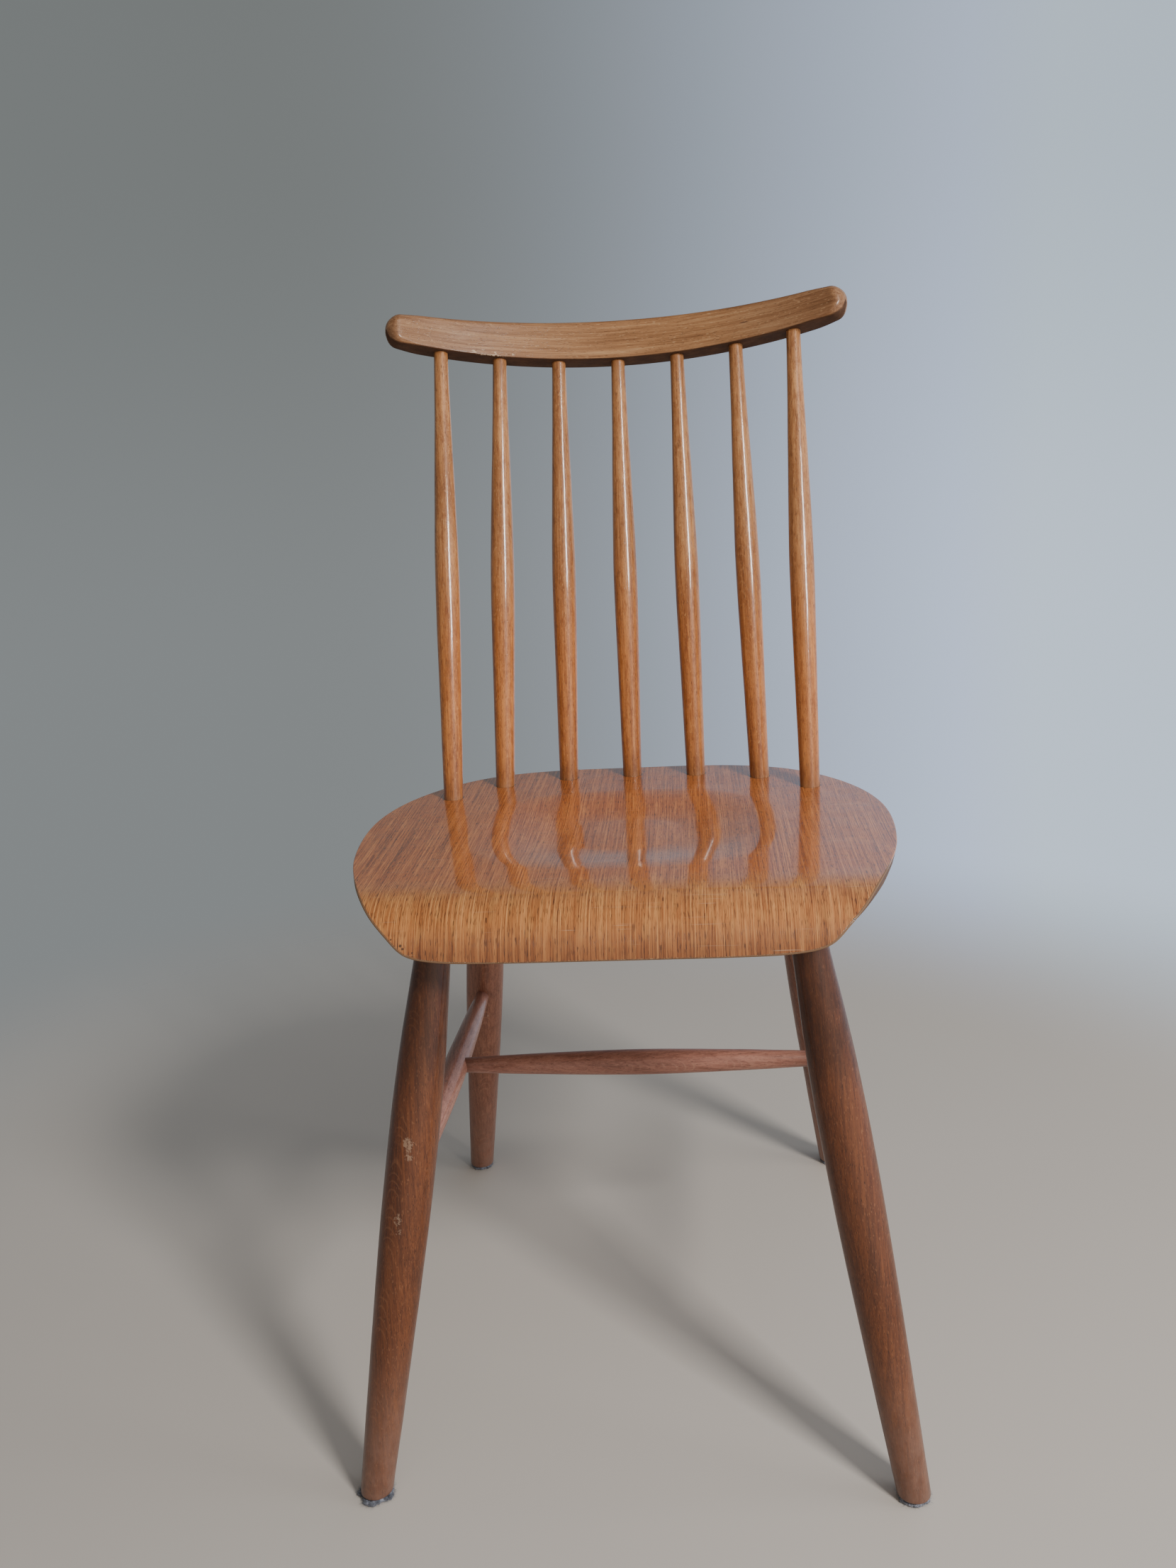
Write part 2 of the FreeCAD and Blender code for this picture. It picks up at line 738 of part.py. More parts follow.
def write_parts():
    os.makedirs("parts", exist_ok=True)
    for item in doc.Objects:
        if "Invalid" in item.State or "Error" in item.State:
            raise RuntimeError("%s did not compute" % item.Name)
    for item in NODES:
        shape = item.Shape
        if shape.isNull() or not shape.isValid() or not shape.Solids:
            raise RuntimeError("%s has no valid solid" % item.Label)
        shape.exportStep("parts/%s.step" % item.Label)
        box = shape.BoundBox
        print("%-24s solids %d  x %.1f..%.1f  y %.1f..%.1f  z %.1f..%.1f" % (
            item.Label, len(shape.Solids), box.XMin, box.XMax, box.YMin, box.YMax, box.ZMin, box.ZMax))


make_chair()
write_parts()
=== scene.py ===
import bpy
import math
import random
import numpy as np
from mathutils import Matrix, Vector, noise


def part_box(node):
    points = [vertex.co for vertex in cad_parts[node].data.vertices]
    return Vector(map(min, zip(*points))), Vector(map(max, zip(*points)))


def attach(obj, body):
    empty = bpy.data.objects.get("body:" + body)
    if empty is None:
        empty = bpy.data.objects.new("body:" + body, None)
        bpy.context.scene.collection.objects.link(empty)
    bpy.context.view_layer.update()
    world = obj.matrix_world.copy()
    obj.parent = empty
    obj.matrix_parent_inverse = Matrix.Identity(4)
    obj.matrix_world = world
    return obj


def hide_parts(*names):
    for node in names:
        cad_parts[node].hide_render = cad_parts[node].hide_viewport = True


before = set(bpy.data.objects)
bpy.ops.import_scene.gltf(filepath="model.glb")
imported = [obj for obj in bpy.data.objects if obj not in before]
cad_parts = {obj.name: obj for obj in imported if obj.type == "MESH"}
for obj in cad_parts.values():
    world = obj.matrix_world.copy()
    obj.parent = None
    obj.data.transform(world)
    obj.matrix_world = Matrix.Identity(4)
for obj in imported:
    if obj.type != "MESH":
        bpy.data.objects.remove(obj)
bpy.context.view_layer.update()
MM = 0.001
RNG = random.Random(4117)

# ---- dimensions, millimetres, y measured from the front feet ----

PAD = 3.5
PAD_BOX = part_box("front_left_felt_pad")
FRONT_X, FRONT_TOP_X, FRONT_TOP_Y = 195.0, 132.0, 78.0
REAR_X, REAR_Y, REAR_TOP_X, REAR_TOP_Y = 184.0, 458.0, 136.5, 376.0
LEG_TOP = 400.0
SIDE_STRETCHER, CROSS_FRACTION = (("front", 223), ("rear", 219.5)), 0.55
DATUM = (PAD_BOX[0][1] + PAD_BOX[1][1]) / 2 / MM - FRONT_TOP_Y * PAD / LEG_TOP
SEAT_TOP, BEND_Y, BEND_R, LIP = 440.0, 78.0, 50.0, 65.0
BEND_EASE = 15.0
DISH_DEPTH, DISH_HALF, DISH_FRONT, DISH_BACK = 7.5, 129.0, 111.0, 337.0
DISH_POWER, DISH_FLANK = 2.6, 0.64
UNDERCUT, UNDERCUT_POWER = 2.2, 1.3
SPINDLE_FEET = ((0, 388), (58.2, 384), (115, 365.4), (156.4, 327.2))
SPINDLE_STEP = math.radians(9)
RAIL_Y, RAIL_Z, RAIL_TILT, RAIL_R = 494.0, 808.0, math.radians(19.5), 350.0
RAIL_HALF_T, RAIL_FACE, RAIL_TURN = 10.25, 36.5, math.radians(35.4)
RAIL_DROP, RAIL_RISE, RAIL_END_X = 7.0, 4.5, 218.7
RAIL_FORWARD = Vector((0, -math.cos(RAIL_TILT), math.sin(RAIL_TILT)))
RAIL_UP = Vector((0, math.sin(RAIL_TILT), math.cos(RAIL_TILT)))


def at(x, y, z):
    """A point in the shared frame, in metres, from x, y (from the front feet) and z in mm."""
    return Vector((x, y + DATUM, z)) * MM


# ---- meshes ----

def ring_faces(rings, sides, caps=True):
    """Faces between rings of vertices, and one face at each end."""
    faces = []
    for a in range(0, (rings - 1) * sides, sides):
        for i in range(sides):
            j = (i + 1) % sides
            faces.append((a + i, a + j, a + sides + j, a + sides + i))
    if caps:
        last = (rings - 1) * sides
        faces += [tuple(range(sides - 1, -1, -1)), tuple(range(last, last + sides))]
    return faces


def make_piece(name, verts, faces, material, grain=None, wear=None, grime_and_shade=None, around=None):
    """A smooth mesh object with its grain position, wear, and grime with painted shade per vertex.
    around is the position on the unrolled skin of a turned piece."""
    mesh = bpy.data.meshes.new(name)
    mesh.from_pydata([tuple(v) for v in verts], [], faces)
    mesh.polygons.foreach_set("use_smooth", [True] * len(mesh.polygons))
    for label, values in (("grain", grain or verts), ("around", around)):
        if values is not None:
            flat = np.array([tuple(v) for v in values], np.float32).ravel()
            mesh.attributes.new(label, "FLOAT_VECTOR", "POINT").data.foreach_set("vector", flat)
    for label, values in (("wear", wear), ("grime_and_shade", grime_and_shade)):
        data = np.zeros(len(verts), np.float32) if values is None else np.array(values, np.float32)
        mesh.attributes.new(label, "FLOAT", "POINT").data.foreach_set("value", data)
    mesh.update()
    mesh.validate()
    obj = bpy.data.objects.new(name, mesh)
    bpy.context.scene.collection.objects.link(obj)
    mesh.materials.append(material)
    return obj


def declare(obj, slot, *nodes):
    """Attaches a piece to the root and hides the CAD nodes that it stands for. slot is not used."""
    bpy.context.view_layer.update()
    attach(obj, "root")
    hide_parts(*nodes)


def smooth(value, low, high):
    """0 below low, 1 above high, and a smooth step between."""
    t = min(1.0, max(0.0, (value - low) / (high - low)))
    return t * t * (3 - 2 * t)


def arc(radius, d):
    """How far a rounding of this radius has drawn in at a distance from the edge."""
    return radius - math.sqrt(max(0.0, radius ** 2 - (radius - d) ** 2))


def curve_value(stations, s):
    """Radius at s on a smooth curve through (radius, s) stations."""
    for k in range(len(stations) - 1):
        if s <= stations[k + 1][1] or k == len(stations) - 2:
            break
    r0, s0 = stations[k]
    r1, s1 = stations[k + 1]

    def slope(i):
        if i == 0 or i == len(stations) - 1:
            j = 1 if i == 0 else i
            return (stations[j][0] - stations[j - 1][0]) / (stations[j][1] - stations[j - 1][1])
        return (stations[i + 1][0] - stations[i - 1][0]) / (stations[i + 1][1] - stations[i - 1][1])

    h = s1 - s0
    t = (s - s0) / h
    a = (2 * t ** 3 - 3 * t ** 2 + 1) * r0 + (t ** 3 - 2 * t ** 2 + t) * h * slope(k)
    return a + (-2 * t ** 3 + 3 * t ** 2) * r1 + (t ** 3 - t ** 2) * h * slope(k + 1)


def angle_from(start, angle):
    """The angle from start, between -pi and pi."""
    return (angle - start + math.pi) % (2 * math.pi) - math.pi


# height above the cut and shrink of the rings that round a leg's foot over, then how uneven a
# turned skin is
FOOT_ROUNDING = ((0.0, 3.0), (0.0, 1.6), (0.25, 0.85), (0.6, 0.4), (1.1, 0.12), (1.8, 0.0))
WOBBLE = 0.12


def turned(name, foot, top, stations, material, seed, steps=170, sides=56, extra=(0, 0), cut=None,
           runout=0.03, ring_offset=45.0, marks=(), dark_ends=(0.0, 0.0), arcs_face=None, seat_shadow=0.0):
    """A turned piece from foot to top. Stations are (radius, distance) in mm. extra is how far
    it runs on into its sockets. cut is the height of a level foot. Marks are worn spots:
    (distance, facing, length, width, strength). Facing is in degrees: -90 is the front, 0 the
    right and 180 the left. arcs_face is where the growth rings come to the surface. The last
    argument sets how dark a painted shadow of the seat is near the top."""
    rng = random.Random(seed)
    axis = (top - foot).normalized()
    side = axis.cross(Vector((0, 1, 0)) if abs(axis.y) < 0.9 else Vector((0, 0, 1)))
    side = -side.normalized()
    front = axis.cross(side).normalized()
    matrix = Matrix((side, front, axis)).transposed().to_4x4()
    matrix.translation = foot
    length = (top - foot).length / MM
    low, high = stations[0][1] - extra[0], stations[-1][1] + extra[1]
    spots = [low + (high - low) * i / (steps - 1) for i in range(steps)]
    if cut is not None:
        spots = [s for s in spots if s > 6]
    turn = rng.uniform(0, 6.28)
    verts, grain, wear, grime_and_shade, around = [], [], [], [], []
    phase = rng.uniform(0, 100)
    arcs_line = math.radians(rng.uniform(-180, 180) if arcs_face is None else arcs_face)

    def add(radius, s, angle, level=None):
        spot = Vector((math.cos(angle) * 0.8, math.sin(angle) * 0.8, s / 30 + phase))
        r = radius + WOBBLE * noise.noise(spot)
        p = Vector((r * math.cos(angle), r * math.sin(angle), s))
        if level is not None:
            height = foot.z / MM + side.z * p.x + front.z * p.y
            p.z = (level - height) / axis.z
        verts.append(p * MM)
        x = p.x * math.cos(turn) - p.y * math.sin(turn) + ring_offset + runout * p.z
        y = p.x * math.sin(turn) + p.y * math.cos(turn)
        grain.append((x * MM, y * MM, (p.z + phase * 40) * MM))
        around.append((angle_from(arcs_line, angle) * radius * MM, (s + phase) * MM, phase))
        w = 0.0
        for where, facing, long, wide, strength in marks:
            off = angle_from(math.radians(facing), angle)
            d = math.hypot((s - where) / long, off * radius / wide)
            w = max(w, strength * (1 - smooth(d, 0.3, 1.2)))
        if cut is not None:
            w = max(w, 0.55 * (1 - smooth(s, 1.0, 5.0)))
        wear.append(w)
        # grime with painted shade at both ends, and the painted seat shadow near the top
        grime_and_shade.append(max(dark_ends[0] * (1 - smooth(s, 0, 30)),
                        dark_ends[1] * smooth(s, length - 45, length),
                        seat_shadow * smooth(s, length - 120, length - 70)))

    angles = [2 * math.pi * i / sides for i in range(sides)]
    if cut is not None:
        for height, shrink in FOOT_ROUNDING:
            for angle in angles:
                add(curve_value(stations, 4.0) - shrink, 4.0 + height, angle, level=cut + height)
    for s in spots:
        radius = curve_value(stations, min(max(s, stations[0][1]), stations[-1][1]))
        for angle in angles:
            add(radius, s, angle)
        if cut is not None:
            share = 1 - smooth(s, 6, 60)
            for v in verts[-sides:]:
                height = foot.z / MM + (side.z * v.x + front.z * v.y) / MM
                level_z = ((s * axis.z + foot.z / MM) - height) / axis.z
                v.z += share * (level_z * MM - v.z)
    faces = ring_faces(len(verts) // sides, sides)
    obj = make_piece(name, verts, faces, material, grain, wear, grime_and_shade, around)
    obj.data.transform(matrix)
    return obj


# ---- legs and stretchers ----

def leg_ends(side, end):
    if end == "front":
        return at(side * FRONT_X, 0, 0), at(side * FRONT_TOP_X, FRONT_TOP_Y, LEG_TOP)
    return at(side * REAR_X, REAR_Y, 0), at(side * REAR_TOP_X, REAR_TOP_Y, LEG_TOP)


def on_leg(side, end, height):
    foot, top = leg_ends(side, end)
    return foot + (top - foot) * (height / LEG_TOP)


# radius, and place as a share of the length
LEG_SWELL = ((11.7, 0), (15.3, 0.27), (17.9, 0.54), (17.3, 0.77), (12.5, 1))
STRETCHER_SWELL = ((6.5, 0), (8.9, 0.2), (10.8, 0.5), (8.9, 0.8), (6.5, 1))
SPINDLE_SWELL = ((8.5, 0), (9.6, 0.2), (10.9, 0.48), (9.1, 0.7), (7.3, 0.86), (6.25, 1))
# worn spots, as turned() takes them
LEG_MARKS = {
    "front_left": ((271, -93, 8, 6.5, 1.0), (263, -88, 7, 5, 0.95), (215, -99, 8, 5, 0.95),
                   (207, -94, 6, 4, 0.85), (60, -110, 14, 4, 0.45), (110, -60, 9, 2, 0.35),
                   (2, -70, 5, 8, 0.9)),
    "front_right": ((330, -70, 3, 2, 0.5), (140, -120, 16, 3, 0.3), (40, -95, 10, 5, 0.35)),
    "rear_left": ((207, -70, 2.6, 1.8, 1.0), (60, -90, 7, 3, 0.3)),
    "rear_right": ((120, -90, 5, 3, 0.4),),
}
LEG_ARCS = {"front_left": -117, "front_right": -20, "rear_left": -75, "rear_right": 160}


def make_legs(front_wood, rear_leg_lit_wood):
    for end, material in (("front", front_wood), ("rear", rear_leg_lit_wood)):
        for label, side in (("left", -1), ("right", 1)):
            foot, top = leg_ends(side, end)
            length = (top - foot).length / MM
            stations = [(radius, share * length) for radius, share in LEG_SWELL]
            key = "%s_%s" % (end, label)
            # the front legs get a painted shadow of the seat at their tops
            leg = turned(key + "_leg_turned", foot, top, stations, material, "leg" + key, steps=230,
                         sides=80, extra=(0, 22), cut=PAD, runout=RNG.uniform(0.1, 0.17),
                         marks=LEG_MARKS[key], dark_ends=(0.35, 0.9), arcs_face=LEG_ARCS[key],
                         seat_shadow=0.72 if end == "front" else 0.0)
            declare(leg, "leg_beech", key + "_leg")


def make_stretchers(material):
    def stretcher(node, start, end, inset, seed):
        span = (end - start).length / MM - 2 * inset
        stations = [(radius, inset + share * span) for radius, share in STRETCHER_SWELL]
        piece = turned(node + "_turned", start, end, stations, material, seed, extra=(9, 9),
                       runout=0.12, ring_offset=38, dark_ends=(0.7, 0.7), arcs_face=-80)
        declare(piece, "leg_beech", node)

    middle = {}
    for label, side in (("left", -1), ("right", 1)):
        start, end = (on_leg(side, place, height) for place, height in SIDE_STRETCHER)
        middle[label] = start.lerp(end, CROSS_FRACTION)
        stretcher(label + "_side_stretcher", start, end, 18, "side" + label)
    stretcher("cross_stretcher", middle["left"], middle["right"], 11.3, "cross")


# ---- spindles and crest rail ----

def spindle_ends(index):
    x, y = SPINDLE_FEET[abs(index)]
    foot = at(math.copysign(x, index), y, SEAT_TOP)
    angle = index * SPINDLE_STEP
    rise = RAIL_RISE * (angle / RAIL_TURN) ** 2
    top = at(0, RAIL_Y, RAIL_Z) + Vector((RAIL_R * math.sin(angle), 0, 0)) * MM
    top = top + RAIL_FORWARD * (RAIL_R * (1 - math.cos(angle)) * MM) + RAIL_UP * (rise * MM)
    return foot, top


def make_spindles(material):
    for index in range(-3, 4):
        foot, top = spindle_ends(index)
        length = (top - foot).length / MM
        stations = [(radius, share * length) for radius, share in SPINDLE_SWELL]
        spindle = turned("spindle_%d_turned" % (index + 4), foot, top, stations, material,
                         "spindle%d" % index, steps=190, sides=52, extra=(6, 12),
                         runout=RNG.uniform(-0.02, 0.02), ring_offset=RNG.uniform(12, 40),
                         dark_ends=(0.5, 0.35))
        declare(spindle, "spindle_beech", "spindle_%d" % (index + 4))


def rounded_section(half_w, low, high, upper, lower, count):
    """Points round a rounded rectangle: half_w either side, from low to high, with one radius
    for the two upper corners and one for the lower ones. Each point says if it is on a corner."""
    limit = min(half_w - 0.01, (high - low) / 2 - 0.01)
    upper, lower = max(0.02, min(upper, limit)), max(0.02, min(lower, limit))
    points = []
    corner, flat_w, flat_h = count // 8, count // 12, count // 4
    corners = [(1, 1, upper, 0), (-1, 1, upper, 90), (-1, -1, lower, 180), (1, -1, lower, 270)]

    def on_corner(k, degrees):
        sx, sy, r, _ = corners[k]
        cx = sx * (half_w - r)
        cy = high - r if sy > 0 else low + r
        a = math.radians(degrees)
        return cx + r * math.cos(a), cy + r * math.sin(a)

    for k, (_, _, _, start) in enumerate(corners):
        for i in range(corner):
            points.append((*on_corner(k, start + 90 * i / (corner - 1)), 1))
        sx, sy = on_corner(k, start + 90)
        ex, ey = on_corner((k + 1) % 4, start + 90)
        steps = flat_w if k % 2 == 0 else flat_h
        for i in range(1, steps):
            t = i / steps
            points.append((sx + (ex - sx) * t, sy + (ey - sy) * t, 0))
    return points


# chips: distance from the middle, height above the lower edge, length, height, strength
RAIL_CHIPS = ((-136, 2.4, 3.4, 1.8, 1.3), (-127, 4.0, 2.6, 1.6, 1.2), (-116, 3.0, 4.0, 1.7, 1.0),
              (-99, 2.6, 3.4, 2.0, 1.0), (-108, 10.5, 1.8, 1.2, 0.75), (-84, 2.0, 2.5, 1.3, 0.8))
# distances from the rail's end of the rings that round it over
RAIL_END_RINGS = (0, 0.1, 0.35, 0.8, 1.4, 2.2, 3.2, 4.4, 5.8, 7.4, 9.2, 11)
RAIL_END_V, RAIL_END_H = 12.0, 9.6


def make_crest_rail(material):
    """The bent top rail as a swept, rounded bar."""
    origin = at(0, RAIL_Y, RAIL_Z)
    run = RAIL_R * RAIL_TURN
    spots = [-run + d for d in RAIL_END_RINGS]
    middle = [-run + 13 + i * (2 * run - 26) / 210 for i in range(211)]
    spots = spots + middle + [-s for s in reversed(spots)]
    verts, grain, wear, grime_and_shade = [], [], [], []

    def shrink(radius, gap):
        return 0.0 if gap >= radius else arc(radius, gap)

    for s in spots:
        turn = s / RAIL_R
        x = RAIL_R * math.sin(turn)
        gap = run - abs(s)
        high = RAIL_FACE - RAIL_DROP * (x / RAIL_END_X) ** 2 - shrink(RAIL_END_V, gap)
        low = RAIL_RISE * (x / RAIL_END_X) ** 2 + shrink(RAIL_END_V, gap)
        half = RAIL_HALF_T - shrink(RAIL_END_H, gap)
        fuller = 1 - smooth(gap, 0, 34)
        section = rounded_section(half, low, high, 3.4 + 4.2 * fuller, 1.0 + 5.6 * fuller, 96)
        for across, z, corner in section:
            bump = 0.10 * noise.noise(Vector((s / 25, across / 9, z / 9)))
            radius = RAIL_R + across + bump
            local = Vector((radius * math.sin(turn), radius * math.cos(turn) - RAIL_R, z))
            verts.append(origin + (Vector((local.x, 0, 0)) - RAIL_FORWARD * local.y + RAIL_UP * z) * MM)
            grain.append((s * MM, (across + 30) * MM, z * MM))
            w = 0.0
            if corner and across < -5 and z < low + 6:
                w = (0.25 + 0.6 * math.exp(-((s + 118) / 26) ** 2)) * smooth(gap, 14, 34)
            if across < -6:
                for where, up, long, tall, strength in RAIL_CHIPS:
                    spot = ((s - where) / long) ** 2 + ((z - low - up) / tall) ** 2
                    w = max(w, strength * math.exp(-spot))
            wear.append(w)
            # painted shade on the rail's underside
            under = smooth(low + 1.1 - z, 0, 0.8)
            # painted shade on the left end, below its top
            left_end_shade = 0.5 * smooth(-s, run - 9, run - 1) * (1 - smooth(z, high - 9, high))
            grime_and_shade.append(max(under, left_end_shade))
    faces = ring_faces(len(spots), len(verts) // len(spots))
    rail = make_piece("crest_rail_bent", verts, faces, material, grain, wear, grime_and_shade)
    declare(rail, "rail_beech", "crest_rail")


# ---- seat ----

def dish(x, y):
    """Depth of the hollow: a flat floor, steep flanks and a clear rim."""
    middle, half = (DISH_FRONT + DISH_BACK) / 2, (DISH_BACK - DISH_FRONT) / 2
    reach = (abs(x) / DISH_HALF) ** DISH_POWER + (abs(y - middle) / half) ** DISH_POWER
    t = min(1.0, max(0.0, (1.0 - reach ** (1 / DISH_POWER)) / DISH_FLANK))
    t = t * t / 0.2 if t < 0.1 else (t - 0.05) / 0.95
    return DISH_DEPTH * (0.35 * t + 0.65 * t * t * (3 - 2 * t))


def shell(x, run, depth):
    """The bent sheet: run is measured back from the bend, negative on the lip; depth is down.
    The turn sets in gently over the last millimetres of the flat part."""
    if run >= BEND_EASE:
        return at(x, BEND_Y + run, SEAT_TOP - depth - dish(x, BEND_Y + run))
    u = min(BEND_EASE - run, 2 * BEND_EASE)
    angle = u * u / (4 * BEND_EASE * BEND_R)
    back = BEND_EASE - u * (1 - angle ** 2 / 10)
    down = u * angle * (1 / 3 - angle ** 2 / 42)
    if run < -BEND_EASE:
        turn = -run / BEND_R
        back -= BEND_R * (math.sin(turn) - math.sin(angle))
        down += BEND_R * (math.cos(angle) - math.cos(turn))
        angle = turn
    return at(x, BEND_Y + back + depth * math.sin(angle), SEAT_TOP - down - depth * math.cos(angle))


def periodic_spline(points, count):
    """Evenly spaced points on a smooth closed curve through the given ones."""
    pts = np.array(points, float)
    n = len(pts)
    gaps = np.linalg.norm(np.roll(pts, -1, 0) - pts, axis=1) ** 0.5
    matrix, right = np.zeros((n, n)), np.zeros((n, 2))
    for i in range(n):
        h0, h1 = gaps[i - 1], gaps[i]
        matrix[i, i - 1] = h0
        matrix[i, i] = 2 * (h0 + h1)
        matrix[i, (i + 1) % n] = h1
        right[i] = 6 * ((pts[(i + 1) % n] - pts[i]) / h1 - (pts[i] - pts[i - 1]) / h0)
    m = np.linalg.solve(matrix, right)
    dense = []
    for i in range(n):
        j, h = (i + 1) % n, gaps[i]
        for t in np.linspace(0, h, 60, endpoint=False):
            a, b = (h - t), t
            dense.append(m[i] * a ** 3 / (6 * h) + m[j] * b ** 3 / (6 * h)
                         + (pts[i] / h - m[i] * h / 6) * a + (pts[j] / h - m[j] * h / 6) * b)
    dense = np.array(dense + [dense[0]])
    length = np.concatenate([[0], np.cumsum(np.linalg.norm(np.diff(dense, axis=0), axis=1))])
    want = np.linspace(0, length[-1], count, endpoint=False)
    return np.stack([np.interp(want, length, dense[:, 0]), np.interp(want, length, dense[:, 1])], 1)


# right half of the outline of the flat sheet: x, and distance from the lip's edge
SEAT_HALF = ((60, 0.0), (90, 0.2), (110, 0.7), (125, 1.9), (143.7, 6.7), (156, 18), (170, 35.5),
             (184, 65), (196, 104), (205, 142), (211.5, 212), (206, 272), (185, 327), (140, 378),
             (75, 400))
SEAT_CENTRE = np.array([0.0, 145.0])
# distances from the edge of the rings along a layer's rim
RIM_RINGS = (7, 5, 3.6, 2.6, 1.9, 1.4, 1.0, 0.72, 0.5, 0.32, 0.17, 0.06, 0.0)


def seat_outline(count):
    """The seat's outline on the unbent sheet: x and run."""
    points = [(0, 0), *SEAT_HALF, (0, 402)] + [(-x, s) for x, s in reversed(SEAT_HALF)]
    outline = periodic_spline(points, count)
    outline[:, 1] = np.maximum(outline[:, 1], 0) - LIP
    return outline


def make_ply(name, outline, top, bottom, top_edge, bottom_edge, fine, material, slot, node, relief=None):
    """One closed layer of the seat between two depths, with rounded arrises on its outer edges."""
    count = len(outline)
    tangent = np.roll(outline, -1, 0) - np.roll(outline, 1, 0)
    tangent /= np.linalg.norm(tangent, axis=1)[:, None]
    inward = np.stack([-tangent[:, 1], tangent[:, 0]], 1)
    if np.mean(np.sum(inward * (SEAT_CENTRE - outline), 1)) < 0:
        inward = -inward
    near = outline + inward * 9.0

    def undercut(depth):
        """How far the sawn edge has drawn in at a depth below the sitting surface."""
        return UNDERCUT * (depth / 10.0) ** UNDERCUT_POWER

    def surface(depth, radius, detail):
        """Rings from the centre to the edge at one depth; radius rounds the outer arris."""
        made = []
        for t in [k / fine for k in range(1, fine)] if detail else (0.15, 0.35, 0.6, 0.85):
            made.append((SEAT_CENTRE + (near - SEAT_CENTRE) * t, depth, 9.0))
        for d in RIM_RINGS:
            rounded = d < radius or d == 0.0
            if rounded or detail:
                lift = arc(radius, d) if rounded and radius else 0.0
                made.append((outline + inward * (d + undercut(depth)), depth + lift, d))
        return made

    rings = surface(top, top_edge, top_edge > 0)
    walls = 10 if relief else 3
    for k in range(1, walls):
        t = k / walls
        low = top + top_edge + (bottom - bottom_edge - top - top_edge) * t
        sink = relief(t) if relief else 0.0
        rings.append((outline + inward * (sink + undercut(low)), low, 0.0))
    for plan, depth, d in reversed(surface(bottom, bottom_edge, bottom_edge > 0)):
        rings.append((plan, 2 * bottom - depth if bottom_edge else depth, d))

    verts, grain, wear = [], [], []
    for plan, deep, d in rings:
        for x, run in plan:
            rough = 0.0
            if d < 1.5:
                rough = 0.16 * max(0, noise.noise(Vector((x / 4, run / 4, deep / 2))) - 0.1)
            verts.append(shell(x, run, deep + rough * (1 if deep < (top + bottom) / 2 else -1)))
            grain.append((x * MM, run * MM, deep * MM))
            lipness = 1 - smooth(run, -20, 60)
            wear.append((1 - smooth(d, 0.5, 2.1)) * (0.45 + 0.5 * lipness)
                        + 0.35 * (1 - smooth(d, 1.5, 9.0)) * lipness * smooth(abs(x), 60, 120))
    faces = ring_faces(len(rings), count, caps=False)
    last = (len(rings) - 1) * count
    for start, flip, deep in ((0, True, rings[0][1]), (last, False, rings[-1][1])):
        verts.append(shell(SEAT_CENTRE[0], SEAT_CENTRE[1], deep))
        grain.append((SEAT_CENTRE[0] * MM, SEAT_CENTRE[1] * MM, deep * MM))
        wear.append(0.0)
        hub = len(verts) - 1
        for i in range(count):
            j = (i + 1) % count
            faces.append((start + j, start + i, hub) if flip else (start + i, start + j, hub))
    obj = make_piece(name, verts, faces, material, grain, wear)
    fix_normals(obj)
    declare(obj, slot, node)


def fix_normals(obj):
    """Turns the faces outward if the closed mesh is inside out."""
    mesh = obj.data
    volume = 0.0
    for face in mesh.polygons:
        v = [mesh.vertices[i].co for i in face.vertices]
        for k in range(1, len(v) - 1):
            volume += v[0].dot(v[k].cross(v[k + 1]))
    if volume < 0:
        mesh.flip_normals()


def make_seat(veneer, edge, under):
    outline = seat_outline(900)

    def plies(t):
        return 0.10 + 0.08 * math.cos(t * 6 * math.pi)

    make_ply("seat_top_veneer_laid", outline, 0.0, 1.0, 0.92, 0.0, 130, veneer, "teak_veneer",
             "seat_top_veneer")
    make_ply("seat_core_pressed", outline, 1.0, 9.0, 0.0, 0.0, 12, edge, "ply_core", "seat_core",
             relief=plies)
    make_ply("seat_under_veneer_laid", outline, 9.0, 10.0, 0.0, 0.7, 60, under, "under_veneer",
             "seat_bottom_veneer")


# ---- felt ----

# share of the pad's radius, and height
FELT_RINGS = ((0.0, 0.05), (0.55, 0.08), (0.85, 0.15), (0.97, 0.5), (1.0, 1.2), (1.0, 2.1), (0.96, 2.9),
              (0.88, 3.35), (0.6, 3.48), (0.0, 3.49))


